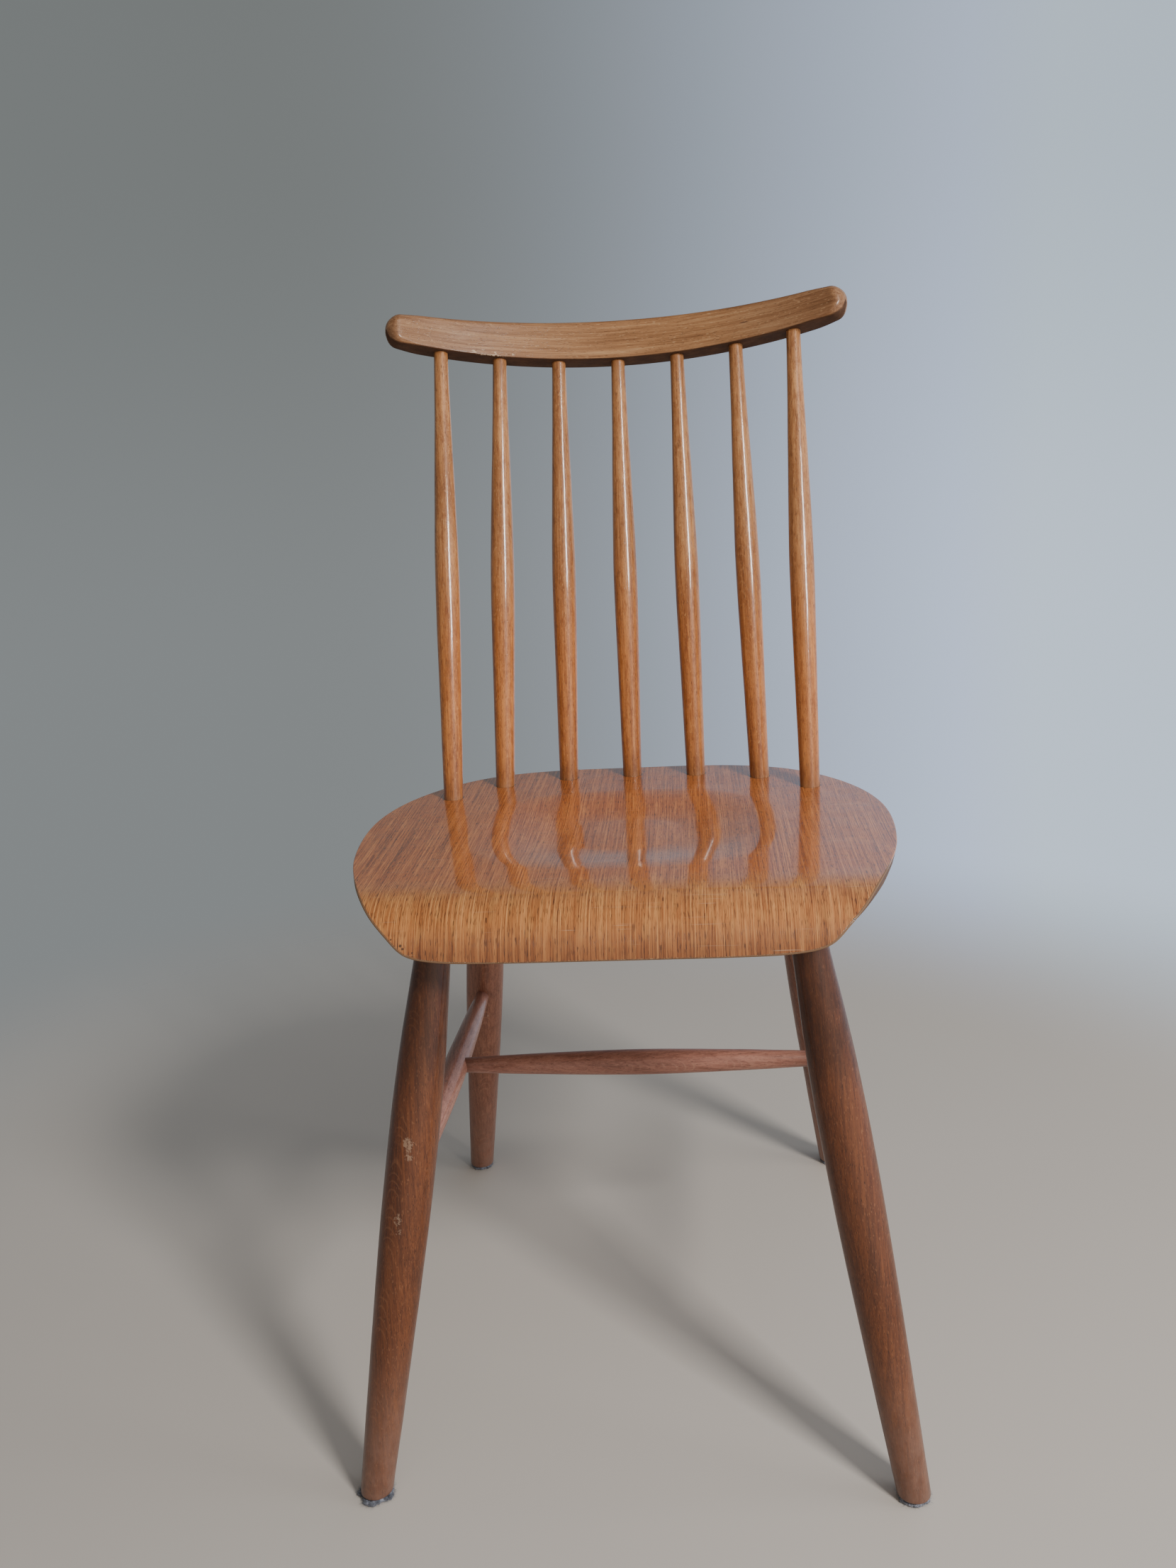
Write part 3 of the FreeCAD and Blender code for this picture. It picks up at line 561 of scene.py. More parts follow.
def make_felt(side, end, material, spread, tufts):
    """A trodden felt pad with a ragged rim and loose fibres."""
    key = "%s_%s" % (end, "left" if side < 0 else "right")
    rng = random.Random("felt" + key)
    base = on_leg(side, end, PAD)
    cx, cy = base.x / MM, base.y / MM
    seed = rng.uniform(0, 50)
    sides = 150
    verts = []

    def rim(angle):
        direction = Vector((math.cos(angle), math.sin(angle), 0))
        r = 10.6 + spread * (0.5 + noise.noise(direction * 1.6 + Vector((seed, 0, 0))) * 1.3)
        r += 0.9 * noise.noise(direction * 7 + Vector((0, seed, 0)))
        return r + 0.45 * noise.noise(direction * 22)

    for share, z in FELT_RINGS:
        for i in range(sides):
            a = 2 * math.pi * i / sides
            r = max(0.05, rim(a) * share)
            fuzz = 0.3 * noise.noise(Vector((math.cos(a) * r, math.sin(a) * r, z + seed)) * 0.9)
            over = max(0.0, r - 10.5)
            z_here = z if z < 0.3 else max(0.1, z * (1 - 0.12 * over) + fuzz * (share > 0.7))
            verts.append(((cx + r * math.cos(a)) * MM, (cy + r * math.sin(a)) * MM, z_here * MM))
    faces = ring_faces(len(FELT_RINGS), sides)
    for _ in range(tufts):
        a = rng.uniform(0, 2 * math.pi)
        r = rim(a) * rng.uniform(0.93, 1.0)
        start = Vector((cx + r * math.cos(a), cy + r * math.sin(a), rng.uniform(0.3, 3.0)))
        heading = Vector((math.cos(a + rng.gauss(0, 0.8)), math.sin(a + rng.gauss(0, 0.8)),
                          rng.gauss(0, 0.35)))
        bend = Vector((rng.gauss(0, 1), rng.gauss(0, 1), rng.gauss(0, 0.4))) * 0.5
        long, thick = rng.uniform(0.8, 3.0), rng.uniform(0.03, 0.06)
        first = len(verts)
        for k in range(5):
            t = k / 4
            p = start + heading * (long * t) + bend * (long * t * t * 0.5)
            p.z = max(0.08, p.z)
            for c in range(3):
                b = 2 * math.pi * c / 3
                off = Vector((math.cos(b) * -heading.y, math.cos(b) * heading.x, math.sin(b)))
                verts.append(tuple((p + off * thick * (1 - 0.7 * t)) * MM))
        for k in range(4):
            for c in range(3):
                d = (c + 1) % 3
                at_k = first + k * 3
                faces.append((at_k + c, at_k + d, at_k + 3 + d, at_k + 3 + c))
    pad = make_piece(key + "_felt_ragged", verts, faces, material)
    declare(pad, "felt", key + "_felt_pad")


# ---- shading ----

class Nodes:
    """A node tree under construction."""

    def __init__(self, owner):
        owner.use_nodes = True
        self.tree = owner.node_tree
        self.tree.nodes.clear()

    def put(self, socket, value):
        if isinstance(value, bpy.types.NodeSocket):
            self.tree.links.new(value, socket)
        else:
            socket.default_value = value

    def node(self, kind, inputs, **settings):
        """A new node. Its inputs are given by name or number."""
        n = self.tree.nodes.new("ShaderNode" + kind)
        for key, value in settings.items():
            setattr(n, key, value)
        for key, value in inputs.items():
            self.put(n.inputs[key], value)
        return n

    def split(self, vector):
        return self.node("SeparateXYZ", {0: vector}).outputs

    def step(self, value, low, high, to_low=0.0, to_high=1.0, kind="SMOOTHSTEP"):
        inputs = {"Value": value, "From Min": low, "From Max": high, "To Min": to_low,
                  "To Max": to_high}
        return self.node("MapRange", inputs, interpolation_type=kind).outputs[0]

    def ramp(self, value, *stops, kind="LINEAR"):
        n = self.node("ValToRGB", {0: value})
        n.color_ramp.interpolation = kind
        elements = n.color_ramp.elements
        while len(elements) < len(stops):
            elements.new(1.0)
        for element, (position, colour) in zip(elements, stops):
            element.position = position
            element.color = (*colour, 1)
        return n.outputs[0]

    def mix(self, amount, a, b, kind="MIX"):
        n = self.node("Mix", {"Factor": amount}, data_type="RGBA", blend_type=kind)
        for socket, value in ((n.inputs[6], a), (n.inputs[7], b)):
            self.put(socket, (*value, 1) if isinstance(value, tuple) else value)
        return n.outputs[2]


class Shade(Nodes):
    """A procedural material under construction."""

    def __init__(self, name):
        self.material = bpy.data.materials.new(name)
        super().__init__(self.material)
        self.shader = self.node("BsdfPrincipled", {})
        self.node("OutputMaterial", {"Surface": self.shader.outputs[0]})
        self.base = None

    def finish(self, **values):
        """Sets the shader's own sockets, and gives the material."""
        for key, value in {"base_color": self.base, **values}.items():
            name = key.replace("_", " ").title().replace("Ior", "IOR")
            self.put(self.shader.inputs[name], value)
        return self.material

    def attribute(self, name, output="Fac"):
        return self.node("Attribute", {}, attribute_name=name).outputs[output]

    def object_coords(self):
        return self.node("TexCoord", {}).outputs["Object"]

    def noise(self, vector, scale, shift=(0, 0, 0), detail=2.0, rough=0.5, distort=0.0, turn=(0, 0, 0)):
        """Noise over a position that is scaled, turned and shifted."""
        inputs = {"Vector": vector, "Scale": scale, "Location": shift, "Rotation": turn}
        place = self.node("Mapping", inputs)
        inputs = {"Vector": place.outputs[0], "Scale": 1.0, "Detail": detail, "Roughness": rough,
                  "Distortion": distort}
        return self.node("TexNoise", inputs).outputs[0]

    def math(self, kind, a, b=0.0):
        return self.node("Math", {0: a, 1: b}, operation=kind).outputs[0]

    def times(self, a, b):
        return self.math("MULTIPLY", a, b)

    def plus(self, a, b):
        return self.math("ADD", a, b)

    def minus(self, a, b):
        return self.math("SUBTRACT", a, b)

    def blend(self, *parts):
        """The sum of its (value, weight) parts."""
        total = None
        for value, weight in parts:
            part = self.times(value, weight)
            total = part if total is None else self.plus(total, part)
        return total

    def vector(self, kind, a, b=(0, 0, 0)):
        n = self.node("VectorMath", {0: a, 1: b}, operation=kind)
        return n.outputs["Value" if kind in ("LENGTH", "DISTANCE") else "Vector"]

    def join(self, x, y, z):
        return self.node("CombineXYZ", {0: x, 1: y, 2: z}).outputs[0]

    def bump(self, height, distance, strength):
        inputs = {"Strength": strength, "Distance": distance, "Height": height}
        return self.node("Bump", inputs).outputs[0]

    def over(self, colour, amount, share=None, kind="MIX"):
        """Lays a colour over the base, by the amount or by amount times share."""
        if share is not None:
            amount = self.times(amount, share)
        self.base = self.mix(amount, self.base, colour, kind)

    def tint(self, colour, amount):
        """Multiplies the base by a colour."""
        self.over(colour, amount, kind="MULTIPLY")


def contact_rings(s, grain, reach):
    """0 at the foot of each spindle, 1 away from it."""
    plan = s.vector("MULTIPLY", grain, (1, 1, 0))
    nearest = None
    for index in range(-3, 4):
        x, y = SPINDLE_FEET[abs(index)]
        foot = (math.copysign(x, index) * MM, (y - BEND_Y) * MM, 0)
        d = s.vector("DISTANCE", plan, foot)
        nearest = d if nearest is None else s.math("MINIMUM", nearest, d)
    return s.step(nearest, 8.5 * MM, (8.5 + reach) * MM)


# dark chips in the veneer: x, run, radius
SEAT_CHIPS = ((-146.2, -51.0, 1.5), (-144.6, -53.2, 1.3), (-153.0, -46.5, 1.1), (-138.0, -56.0, 1.0),
              (160.0, -41.0, 1.1))


def seat_veneer():
    """Straight-grained teak under glossy lacquer."""
    s = Shade("teak_veneer_lacquered")
    grain = s.attribute("grain", "Vector")
    x, run, _ = s.split(grain)
    drift = s.noise(grain, (9, 2.5, 0), detail=1)
    x = s.plus(x, s.times(s.minus(drift, 0.5), 0.006))
    plan = s.join(x, run, 0.0)
    wide = s.noise(plan, (85, 1.6, 1), detail=3, rough=0.6)
    bands = s.noise(plan, (820, 5.0, 1), (3, 1, 0), detail=3, rough=0.65)
    fine = s.noise(plan, (1700, 26, 1), (7, 2, 0), detail=2, rough=0.6)
    pores = s.noise(plan, (1500, 130, 1), (1, 5, 0), detail=1)
    lines = s.noise(plan, (1050, 5.0, 1), (11, 4, 0), detail=1)
    figure_sheen = s.noise(plan, (160, 40, 1), (5, 5, 0), detail=2, rough=0.6)
    tone = s.blend((bands, 0.55), (fine, 0.45))
    s.base = s.ramp(tone, (0.38, (0.23, 0.080, 0.024)), (0.46, (0.41, 0.152, 0.046)),
                    (0.53, (0.56, 0.225, 0.070)), (0.62, (0.74, 0.350, 0.125)))
    s.tint((0.66, 0.49, 0.40), s.step(wide, 0.38, 0.66, 0.0, 0.46))
    # golden patches: the veneer's own figure with its chatoyant sheen painted in
    s.over((0.80, 0.40, 0.13), s.step(figure_sheen, 0.50, 0.68, 0.0, 0.22))
    s.tint((0.99, 0.765, 0.635), s.step(run, -0.012, 0.030))
    cluster = s.step(bands, 0.60, 0.42)
    pore = s.times(s.step(pores, 0.56, 0.64), s.plus(s.times(cluster, 0.7), 0.3))
    s.over((0.060, 0.022, 0.011), pore, 0.72)
    s.over((0.12, 0.042, 0.017), s.step(lines, 0.63, 0.70, 0, 0.5))
    rim = s.step(run, -LIP * MM, (32 - LIP) * MM, 0.75, 0.0)
    s.tint((0.42, 0.33, 0.30), rim)
    # a dark joint line round each spindle's foot, with painted contact shade
    contact = contact_rings(s, grain, 1.6)
    s.over((0.03, 0.015, 0.008), s.minus(1.0, contact))
    wear = s.attribute("wear")
    chips = s.noise(grain, (900, 900, 900), detail=3, rough=0.7)
    worn = s.step(s.blend((wear, 0.55), (chips, 0.75)), 0.74, 0.84)
    s.over((0.52, 0.34, 0.19), worn, 0.75)
    dark_edge = s.step(s.plus(wear, s.times(chips, -0.5)), 0.30, 0.6)
    s.over((0.085, 0.036, 0.018), dark_edge, 0.72)
    for x_chip, run_chip, reach in SEAT_CHIPS:
        gap = s.vector("DISTANCE", s.vector("MULTIPLY", grain, (1, 1, 0)),
                       (x_chip * MM, run_chip * MM, 0))
        gap = s.plus(gap, s.times(chips, 0.0016))
        s.over((0.035, 0.016, 0.010), s.step(gap, reach * MM, (reach + 0.7) * MM, 0.85, 0.0))
    scratch = None
    for turn, shift in ((0.35, 2.0), (1.2, 9.0), (2.3, 5.0)):
        line = s.noise(grain, (11, 900, 1), (shift, shift, 0), detail=0, turn=(0, 0, turn))
        line = s.step(line, 0.765, 0.80)
        scratch = line if scratch is None else s.math("MAXIMUM", scratch, line)
    patch = s.step(s.noise(grain, (22, 22, 1)), 0.50, 0.62)
    scratch = s.times(scratch, patch)
    s.over((0.62, 0.42, 0.27), scratch, 0.35)
    ripple = s.noise(plan, (420, 24, 1), (2, 8, 0), detail=2)
    height = s.blend((ripple, 0.5), (pore, -0.5))
    height = s.minus(height, s.blend((worn, 1.2), (scratch, 0.4)))
    smear = s.noise(grain, (30, 30, 1), (4, 4, 0), detail=4, rough=0.65)
    rough = s.plus(s.step(smear, 0.3, 0.7, 0.30, 0.42), s.times(worn, 0.25))
    return s.finish(roughness=rough, normal=s.bump(height, 0.00012, 0.8),
                    coat_normal=s.bump(height, 0.00003, 0.6),
                    coat_weight=s.minus(1.0, s.times(worn, 0.8)), coat_roughness=0.07, coat_ior=1.58,
                    specular_ior_level=0.16)


def ply_edge():
    """The stained edge of the pressed plies: long grain and end grain by turns."""
    s = Shade("ply_edge_stained")
    grain = s.attribute("grain", "Vector")
    _, _, deep = s.split(grain)
    layer = s.math("SINE", s.times(deep, 2 * math.pi / 0.00229))
    fibre = s.noise(grain, (160, 160, 5200), detail=3, rough=0.6)
    specks = s.noise(grain, (1500, 1500, 2600), detail=2)
    tone = s.blend((layer, 0.11), (fibre, 1.0))
    s.base = s.ramp(tone, (0.30, (0.050, 0.022, 0.012)), (0.48, (0.11, 0.050, 0.025)),
                    (0.70, (0.21, 0.105, 0.052)))
    s.over((0.03, 0.015, 0.010), s.step(specks, 0.60, 0.68, 0, 0.7))
    rough = s.step(fibre, 0.3, 0.7, 0.48, 0.66)
    return s.finish(roughness=rough, normal=s.bump(tone, 0.0002, 0.8), specular_ior_level=0.35)


def under_veneer():
    """The plain veneer under the seat, thinly lacquered."""
    s = Shade("under_veneer_satin")
    grain = s.attribute("grain", "Vector")
    bands = s.noise(grain, (150, 3, 1), detail=4, rough=0.65)
    pores = s.noise(grain, (2200, 90, 1), detail=1)
    stain = s.noise(grain, (9, 9, 1), detail=3)
    s.base = s.ramp(bands, (0.32, (0.21, 0.105, 0.050)), (0.5, (0.32, 0.175, 0.090)),
                    (0.68, (0.40, 0.24, 0.13)))
    s.over((0.10, 0.05, 0.028), s.step(pores, 0.60, 0.68, 0, 0.65))
    s.tint((0.35, 0.28, 0.22), s.step(stain, 0.42, 0.7, 0, 0.3))
    wear = s.attribute("wear")
    s.over((0.10, 0.050, 0.028), wear, 0.5)
    rough = s.step(stain, 0.3, 0.7, 0.42, 0.60)
    return s.finish(roughness=rough, normal=s.bump(s.minus(bands, pores), 0.0001, 0.7))


def growth_arcs(s):
    """Thin nested arcs where the growth rings run out at the surface."""
    skin = s.attribute("around", "Vector")
    off, along, _ = s.split(skin)
    ragged = s.noise(skin, (300, 300, 0), detail=2)
    drift = s.noise(skin, (30, 30, 0), (2, 7, 0), detail=1)
    off = s.plus(off, s.times(s.minus(ragged, 0.5), 0.0025))
    height = s.plus(along, s.times(s.times(off, off), 190.0))
    height = s.plus(height, s.times(drift, 0.035))
    thick = s.math("FRACT", s.times(height, 1 / 0.0085))
    line = s.times(s.step(thick, 0.0, 0.08), s.step(thick, 0.14, 0.34, 1.0, 0.0))
    near = s.step(s.math("ABSOLUTE", off), 0.0030, 0.0075, 1.0, 0.0)
    patch = s.step(s.noise(skin, (60, 26, 1), (4, 4, 0), detail=1), 0.42, 0.60)
    return s.times(s.times(line, near), patch)


def turned_beech(name, dark, middle, light, fleck, gloss=0.40, roughness=(0.38, 0.54), blotch=0.35,
                 bare=(0.50, 0.37, 0.26), arcs=0.25):
    """Stained beech: growth rings from the pith, ray flecks, pores, grime with painted shade in the
    corners and worn spots down to the bare wood."""
    s = Shade(name)
    grain = s.attribute("grain", "Vector")
    x, y, _ = s.split(grain)
    warp = s.noise(grain, (70, 70, 7), detail=2)
    pith = s.vector("LENGTH", s.join(x, y, 0.0))
    pith = s.plus(pith, s.times(warp, 0.0045))
    year = s.math("FRACT", s.times(pith, 1 / 0.0027))
    late = s.step(year, 0.70, 0.97)
    early = s.step(year, 0.0, 0.12, 1.0, 0.0)
    ring = s.math("MAXIMUM", late, early)
    streak = s.noise(grain, (420, 420, 11), detail=3, rough=0.6)
    thin = s.noise(grain, (1500, 1500, 42), (5, 2, 1), detail=2, rough=0.6)
    cloud = s.noise(grain, (38, 38, 9), (1, 3, 2), detail=3, rough=0.55)
    tone = s.blend((streak, 0.42), (thin, 0.28), (cloud, 0.30))
    s.base = s.ramp(tone, (0.38, dark), (0.50, middle), (0.62, light))
    s.over(dark, ring, 0.30)
    mottle = s.noise(grain, (300, 300, 85), (7, 7, 1), detail=4, rough=0.7)
    s.tint((0.64, 0.53, 0.46), s.step(mottle, 0.47, 0.66, 0.0, blotch))
    dashes = s.noise(grain, (2400, 2400, 230), (2, 2, 9), detail=1)
    dash = s.step(dashes, 0.63, 0.70)
    s.over(tuple(c * 0.3 for c in dark), dash, 0.7)
    rays = s.noise(grain, (900, 2600, 300), (6, 1, 4), detail=1)
    ray = s.step(rays, 0.62, 0.72)
    s.over(fleck, ray, 0.45)
    s.over(fleck, growth_arcs(s), arcs)
    # painted shade with grime: dark at the ends, and the seat's painted shadow on the front legs
    grime_and_shade = s.attribute("grime_and_shade")
    patchiness = s.noise(grain, (120, 120, 60), detail=4, rough=0.7)
    s.over(tuple(c * 0.34 for c in dark), grime_and_shade, s.step(patchiness, 0.25, 0.7, 0.45, 0.9))
    _, _, level = s.split(s.object_coords())
    dusty = s.times(s.step(level, 0.015, 0.14, 0.5, 0.0), s.step(patchiness, 0.3, 0.65, 0.5, 1.0))
    s.over((0.26, 0.150, 0.110), dusty)
    # painted warm light: the wood just above the seat, the spindles' lower part, tinted more orange
    warm_light = s.times(s.step(level, 0.43, 0.45), s.step(level, 0.53, 0.68, 1.0, 0.0))
    s.tint((1.08, 0.87, 0.60), warm_light)
    wear = s.attribute("wear")
    chips = s.noise(grain, (520, 520, 380), (3, 3, 3), detail=4, rough=0.75)
    worn = s.step(s.blend((wear, 0.42), (chips, 0.95)), 0.80, 0.92)
    s.over(bare, worn, 0.6)
    dents = s.noise(grain, (60, 60, 26), (8, 1, 2), detail=2)
    dent = s.step(dents, 0.70, 0.76)
    s.over(tuple(c * 0.5 for c in dark), dent, 0.35)
    rub = s.noise(grain, (26, 26, 12), (9, 9, 9), detail=4, rough=0.65)
    rough = s.plus(s.step(rub, 0.3, 0.7, *roughness), s.times(worn, 0.3))
    height = s.blend((thin, 0.6), (dash, -0.6))
    height = s.minus(height, s.blend((worn, 1.0), (dent, 1.4)))
    return s.finish(roughness=rough, normal=s.bump(height, 0.00014, 0.8),
                    coat_normal=s.bump(height, 0.00005, 0.6),
                    coat_weight=s.times(gloss, s.minus(1.0, worn)), coat_roughness=0.08,
                    specular_ior_level=0.28)


def rail_beech():
    """Honey-stained beech with the grain along the bend."""
    s = Shade("rail_beech_lacquered")
    grain = s.attribute("grain", "Vector")
    run, across, height_z = s.split(grain)
    warp = s.noise(grain, (11, 60, 60), detail=2)
    level = s.plus(height_z, s.times(warp, 0.012))
    level = s.plus(level, s.times(across, 0.6))
    year = s.math("FRACT", s.times(level, 1 / 0.0048))
    late = s.math("MAXIMUM", s.step(year, 0.78, 0.98), s.step(year, 0.0, 0.08, 1.0, 0.0))
    streak = s.noise(grain, (10, 380, 380), detail=3, rough=0.6)
    thin = s.noise(grain, (38, 1500, 1500), (5, 2, 1), detail=2, rough=0.6)
    cloud = s.noise(grain, (9, 40, 40), (1, 3, 2), detail=3)
    tone = s.blend((streak, 0.40), (thin, 0.28), (cloud, 0.32))
    s.base = s.ramp(tone, (0.38, (0.185, 0.080, 0.031)), (0.50, (0.318, 0.155, 0.067)),
                    (0.62, (0.43, 0.242, 0.115)))
    s.over((0.20, 0.085, 0.030), late, 0.22)
    # painted shade: the rail darker towards both ends
    ends_shade = s.step(s.math("ABSOLUTE", run), 0.075, 0.165)
    s.tint((0.80, 0.79, 0.84), ends_shade)
    dashes = s.noise(grain, (260, 2300, 2300), (2, 2, 9), detail=1)
    dash = s.step(dashes, 0.64, 0.71)
    s.over((0.075, 0.030, 0.012), dash, 0.6)
    rays = s.noise(grain, (230, 2600, 900), (6, 1, 4), detail=1)
    s.over((0.50, 0.31, 0.165), s.step(rays, 0.64, 0.74, 0, 0.4))
    # painted shade darkening the base on the underside and at the left end
    grime_and_shade = s.attribute("grime_and_shade")
    patchiness = s.noise(grain, (60, 120, 120), detail=4, rough=0.7)
    s.over((0.055, 0.026, 0.015), grime_and_shade, s.step(patchiness, 0.25, 0.7, 0.78, 0.97))
    wear = s.attribute("wear")
    chips = s.noise(grain, (500, 700, 700), (3, 3, 3), detail=4, rough=0.7)
    worn = s.step(s.blend((wear, 0.50), (chips, 0.75)), 0.76, 0.84)
    s.over((0.60, 0.45, 0.31), worn, 0.8)
    mark = s.vector("SUBTRACT", grain, (0.122, 0.020, 0.0170))
    mark = s.vector("LENGTH", s.vector("MULTIPLY", mark, (190, 60, 1300)))
    mark = s.step(s.plus(mark, s.times(thin, 0.7)), 1.35, 0.75)
    s.over((0.07, 0.03, 0.018), mark, 0.8)
    rub = s.noise(grain, (12, 26, 26), (9, 9, 9), detail=4, rough=0.65)
    rough = s.plus(s.step(rub, 0.3, 0.7, 0.32, 0.46), s.times(worn, 0.3))
    rough = s.plus(rough, s.times(grime_and_shade, 0.35))
    height = s.minus(s.times(thin, 0.6), s.times(dash, 0.6))
    height = s.minus(height, s.plus(worn, s.times(mark, 0.8)))
    bare_wood = s.math("MAXIMUM", worn, s.times(grime_and_shade, 0.95))
    return s.finish(roughness=rough, normal=s.bump(height, 0.00014, 0.8),
                    coat_normal=s.bump(height, 0.00005, 0.6),
                    coat_weight=s.times(0.42, s.minus(1.0, bare_wood)), coat_roughness=0.18,
                    specular_ior_level=0.18)


def plain_beech():
    """Sanded, unfinished beech of the battens."""
    s = Shade("batten_beech_plain")
    spot = s.object_coords()
    streak = s.noise(spot, (9, 380, 380), detail=4, rough=0.6)
    flecks = s.noise(spot, (280, 2400, 2400), detail=1)
    stain = s.noise(spot, (16, 16, 16), detail=4, rough=0.6)
    s.base = s.ramp(streak, (0.32, (0.30, 0.185, 0.10)), (0.52, (0.42, 0.28, 0.165)),
                    (0.7, (0.50, 0.35, 0.22)))
    s.over((0.20, 0.11, 0.06), s.step(flecks, 0.60, 0.68, 0, 0.6))
    s.tint((0.30, 0.22, 0.16), s.step(stain, 0.45, 0.72, 0, 0.35))
    rough = s.step(stain, 0.3, 0.7, 0.5, 0.7)
    return s.finish(roughness=rough, normal=s.bump(s.minus(streak, flecks), 0.0002, 0.8))


def screw_steel():
    """Zinc-plated steel, a little dulled."""
    s = Shade("screw_steel_dulled")
    spot = s.object_coords()
    fine = s.noise(spot, (900, 900, 900), detail=3, rough=0.7)
    stain = s.noise(spot, (150, 150, 150), detail=3)
    s.base = s.ramp(stain, (0.35, (0.30, 0.27, 0.23)), (0.6, (0.52, 0.51, 0.49)),
                    (0.8, (0.60, 0.60, 0.58)))
    return s.finish(roughness=s.step(fine, 0.3, 0.7, 0.28, 0.5), normal=s.bump(fine, 0.00008, 0.7),
                    metallic=0.95)


def grey_felt():
    """Pressed felt, matted and dirty."""
    s = Shade("felt_matted")
    spot = s.object_coords()
    clumps = s.noise(spot, (240, 240, 300), detail=4, rough=0.7)
    fibres = s.noise(spot, (1800, 1800, 1800), detail=3, rough=0.7, distort=1.5)
    tone = s.blend((clumps, 0.65), (fibres, 0.35))
    s.base = s.ramp(tone, (0.36, (0.030, 0.032, 0.040)), (0.50, (0.125, 0.130, 0.155)),
                    (0.62, (0.34, 0.35, 0.41)))
    return s.finish(roughness=s.step(fibres, 0.3, 0.7, 0.85, 1.0), normal=s.bump(tone, 0.0006, 1.0),
                    sheen_weight=0.4, specular_ior_level=0.1)


def pale_floor():
    """Pale and matt, fading into the surround at a distance."""
    s = Shade("floor_pale")
    spot = s.object_coords()
    soft = s.noise(spot, (0.9, 0.9, 1), detail=2)
    s.base = s.ramp(soft, (0.3, (0.575, 0.512, 0.448)), (0.7, (0.612, 0.550, 0.486)))
    away = s.step(s.vector("LENGTH", spot), 0.62, 1.35, 1.0, 0.0)
    return s.finish(roughness=s.step(soft, 0.3, 0.7, 0.55, 0.62), specular_ior_level=0.3, alpha=away)


# ---- stage, light and camera ----

def make_stage():
    """A round floor that reaches far past the chair."""
    mesh = bpy.data.meshes.new("studio_floor")
    corners, sides, reach = [(0, 0, 0)], 64, 14.0
    for i in range(sides):
        a = 2 * math.pi * i / sides
        corners.append((reach * math.cos(a), reach * math.sin(a), 0))
    mesh.from_pydata(corners, [], [(0, i + 1, (i + 1) % sides + 1) for i in range(sides)])
    floor = bpy.data.objects.new("studio_floor", mesh)
    bpy.context.scene.collection.objects.link(floor)
    mesh.materials.append(pale_floor())


def make_world():
    """A soft grey surround, brighter towards the window side and dim overhead."""
    world = bpy.data.worlds.new("studio_world")
    bpy.context.scene.world = world
    n = Nodes(world)
    x, y, z = n.split(n.node("TexCoord", {}).outputs["Generated"])
    black, white = (0, 0, 0), (1, 1, 1)

    def band(value, low, high, *stops, kind="EASE"):
        """Colours along one direction, from low to high."""
        return n.ramp(n.step(value, low, high, kind="LINEAR"), *stops, kind=kind)

    sides = band(x, -0.35, 0.24, (0.0, (0.235, 0.255, 0.262)), (0.5, (0.230, 0.243, 0.240)),
                 (1.0, (0.80, 0.96, 1.28)), kind="B_SPLINE")
    height = band(z, -0.15, 0.95, (0.0, white), (0.32, (0.80, 0.80, 0.78)), (1.0, (0.40, 0.40, 0.40)))
    glow = band(z, -0.1, 0.25, (0.0, (0.86, 0.79, 0.72)), (1.0, (0.54, 0.51, 0.475)))
    across = band(x, -0.8, 0.8, (0.0, (0.55, 0.55, 0.55)), (1.0, (1.35, 1.35, 1.35)))
    front = band(y, -0.9, -0.1, (0.0, white), (1.0, black))
    below = band(z, -0.75, -0.35, (0.0, white), (1.0, black))
    room = n.mix(front, n.mix(1.0, sides, height, "MULTIPLY"), n.mix(1.0, glow, across, "MULTIPLY"))
    ground = n.mix(below, room, (0.51, 0.458, 0.400))
    back = n.node("Background", {"Color": ground, "Strength": 1.0})
    n.node("OutputWorld", {"Surface": back.outputs[0]})


def area_light(name, place, aim, width, height, power, colour, glossy=True):
    data = bpy.data.lights.new(name, "AREA")
    data.shape = "RECTANGLE"
    data.size, data.size_y = width, height
    data.energy = power
    data.color = colour
    lamp = bpy.data.objects.new(name, data)
    bpy.context.scene.collection.objects.link(lamp)
    lamp.location = place
    lamp.visible_camera = False
    lamp.visible_glossy = glossy
    lamp.rotation_euler = (Vector(aim) - Vector(place)).to_track_quat("-Z", "Y").to_euler()


def make_lights():
    area_light("window_key", (1.36, -1.62, 1.90), (0, 0, 0.55), 0.44, 0.62, 54, (1.0, 0.985, 0.965))
    area_light("side_fill", (2.7, -0.5, 0.62), (0, 0, 0.3), 1.2, 0.8, 28, (0.96, 0.98, 1.0),
               glossy=False)


# the photo's viewpoint: yaw, pitch and roll in degrees, place in mm, then the focal length and
# the frame's height in pixels, and the sensor's height in mm
CAMERA_TURN, CAMERA_PLACE = (-4.85, 14.57, -3.33), (59.94, -808.52, 744.6)
FOCAL, FRAME_HEIGHT, SENSOR = 1893.4, 2212, 36.0


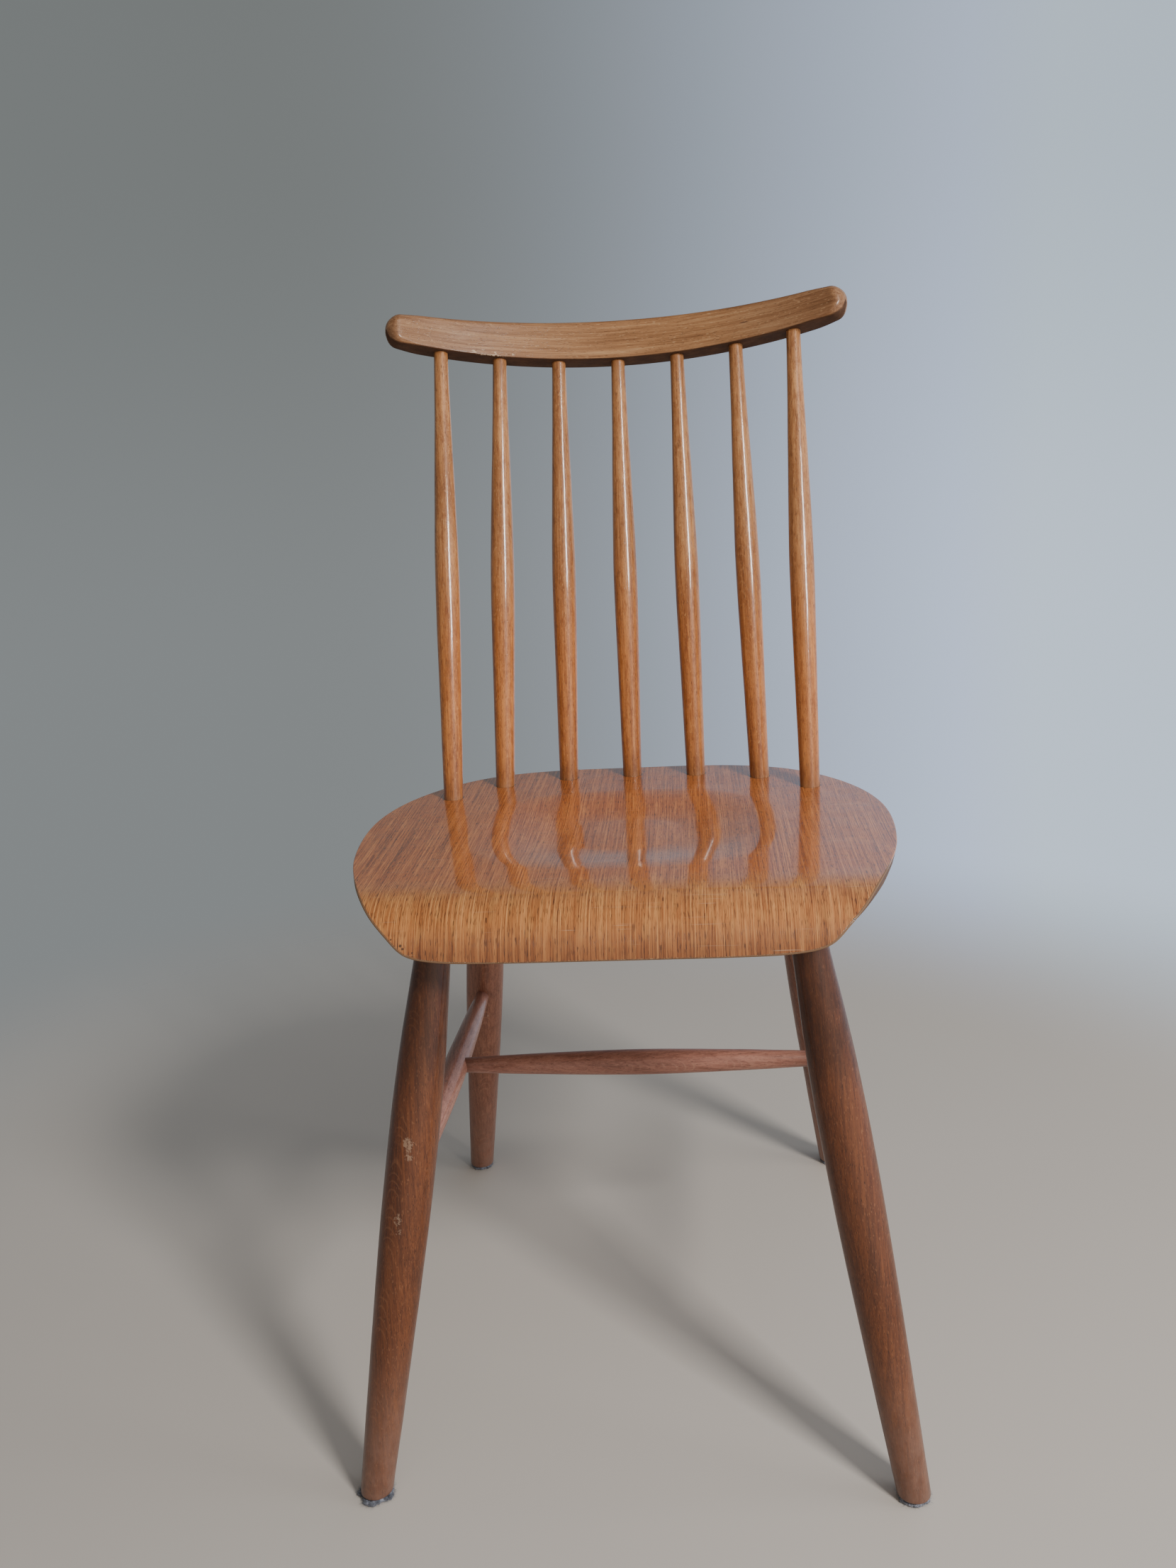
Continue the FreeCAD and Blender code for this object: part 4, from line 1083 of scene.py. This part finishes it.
def make_camera():
    """A camera at the photo's viewing angle."""
    yaw, pitch, roll = (math.radians(a) for a in CAMERA_TURN)
    level = Vector((math.sin(yaw), math.cos(yaw), 0))
    ahead = level * math.cos(pitch) - Vector((0, 0, math.sin(pitch)))
    right = Vector((math.cos(yaw), -math.sin(yaw), 0))
    up = right.cross(ahead)
    right, up = (right * math.cos(roll) + up * math.sin(roll),
                 up * math.cos(roll) - right * math.sin(roll))
    data = bpy.data.cameras.new("camera")
    data.sensor_width = SENSOR
    data.lens = FOCAL / FRAME_HEIGHT * SENSOR
    data.clip_start = 0.05
    camera = bpy.data.objects.new("camera", data)
    bpy.context.scene.collection.objects.link(camera)
    matrix = Matrix((right, up, -ahead)).transposed().to_4x4()
    matrix.translation = at(*CAMERA_PLACE)
    camera.matrix_world = matrix
    bpy.context.scene.camera = camera


# ---- the chair ----

def keep_cad(material, slot, *nodes):
    """Nodes that keep their CAD shape, in a material."""
    for name in nodes:
        obj = bpy.data.objects[name]
        obj.data.materials.clear()
        obj.data.materials.append(material)
        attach(obj, "root")


def build():
    spindle_wood = turned_beech("spindle_beech_lacquered", (0.25, 0.092, 0.029), (0.42, 0.180, 0.064),
                                (0.56, 0.268, 0.104), (0.64, 0.36, 0.16), gloss=0.65,
                                roughness=(0.34, 0.48), blotch=0.8, bare=(0.62, 0.46, 0.30), arcs=0.15)
    rail_wood = rail_beech()
    leg_wood = turned_beech("leg_beech_stained", (0.076, 0.023, 0.0095), (0.128, 0.038, 0.0130),
                            (0.182, 0.057, 0.018), (0.28, 0.115, 0.050), roughness=(0.36, 0.52),
                            bare=(0.36, 0.24, 0.16), arcs=0.27)
    # a lighter copy of the leg wood for the stretchers: painted light under the seat, with a painted
    # sheen
    stretcher_lit_wood = turned_beech("stretcher_beech_painted_light", (0.215, 0.087, 0.060), (0.330, 0.143, 0.100),
                              (0.410, 0.190, 0.132), (0.48, 0.26, 0.18))
    # a lighter copy of the leg wood for the rear legs: painted light under the seat
    rear_leg_lit_wood = turned_beech("rear_leg_beech_painted_light", (0.145, 0.054, 0.033), (0.235, 0.092, 0.055),
                             (0.300, 0.125, 0.075), (0.40, 0.195, 0.115))
    make_legs(leg_wood, rear_leg_lit_wood)
    make_stretchers(stretcher_lit_wood)
    make_spindles(spindle_wood)
    make_crest_rail(rail_wood)
    make_seat(seat_veneer(), ply_edge(), under_veneer())
    felt = grey_felt()
    for side, end, spread, tufts in ((-1, "front", 3.4, 1000), (1, "front", 0.9, 350),
                                     (-1, "rear", 0.6, 250), (1, "rear", 0.8, 250)):
        make_felt(side, end, felt, spread, tufts)
    keep_cad(plain_beech(), "batten_wood", "front_batten", "rear_batten")
    keep_cad(screw_steel(), "screw_steel", "front_batten_screws", "rear_batten_screws")


build()
make_stage()
make_world()
make_lights()
make_camera()
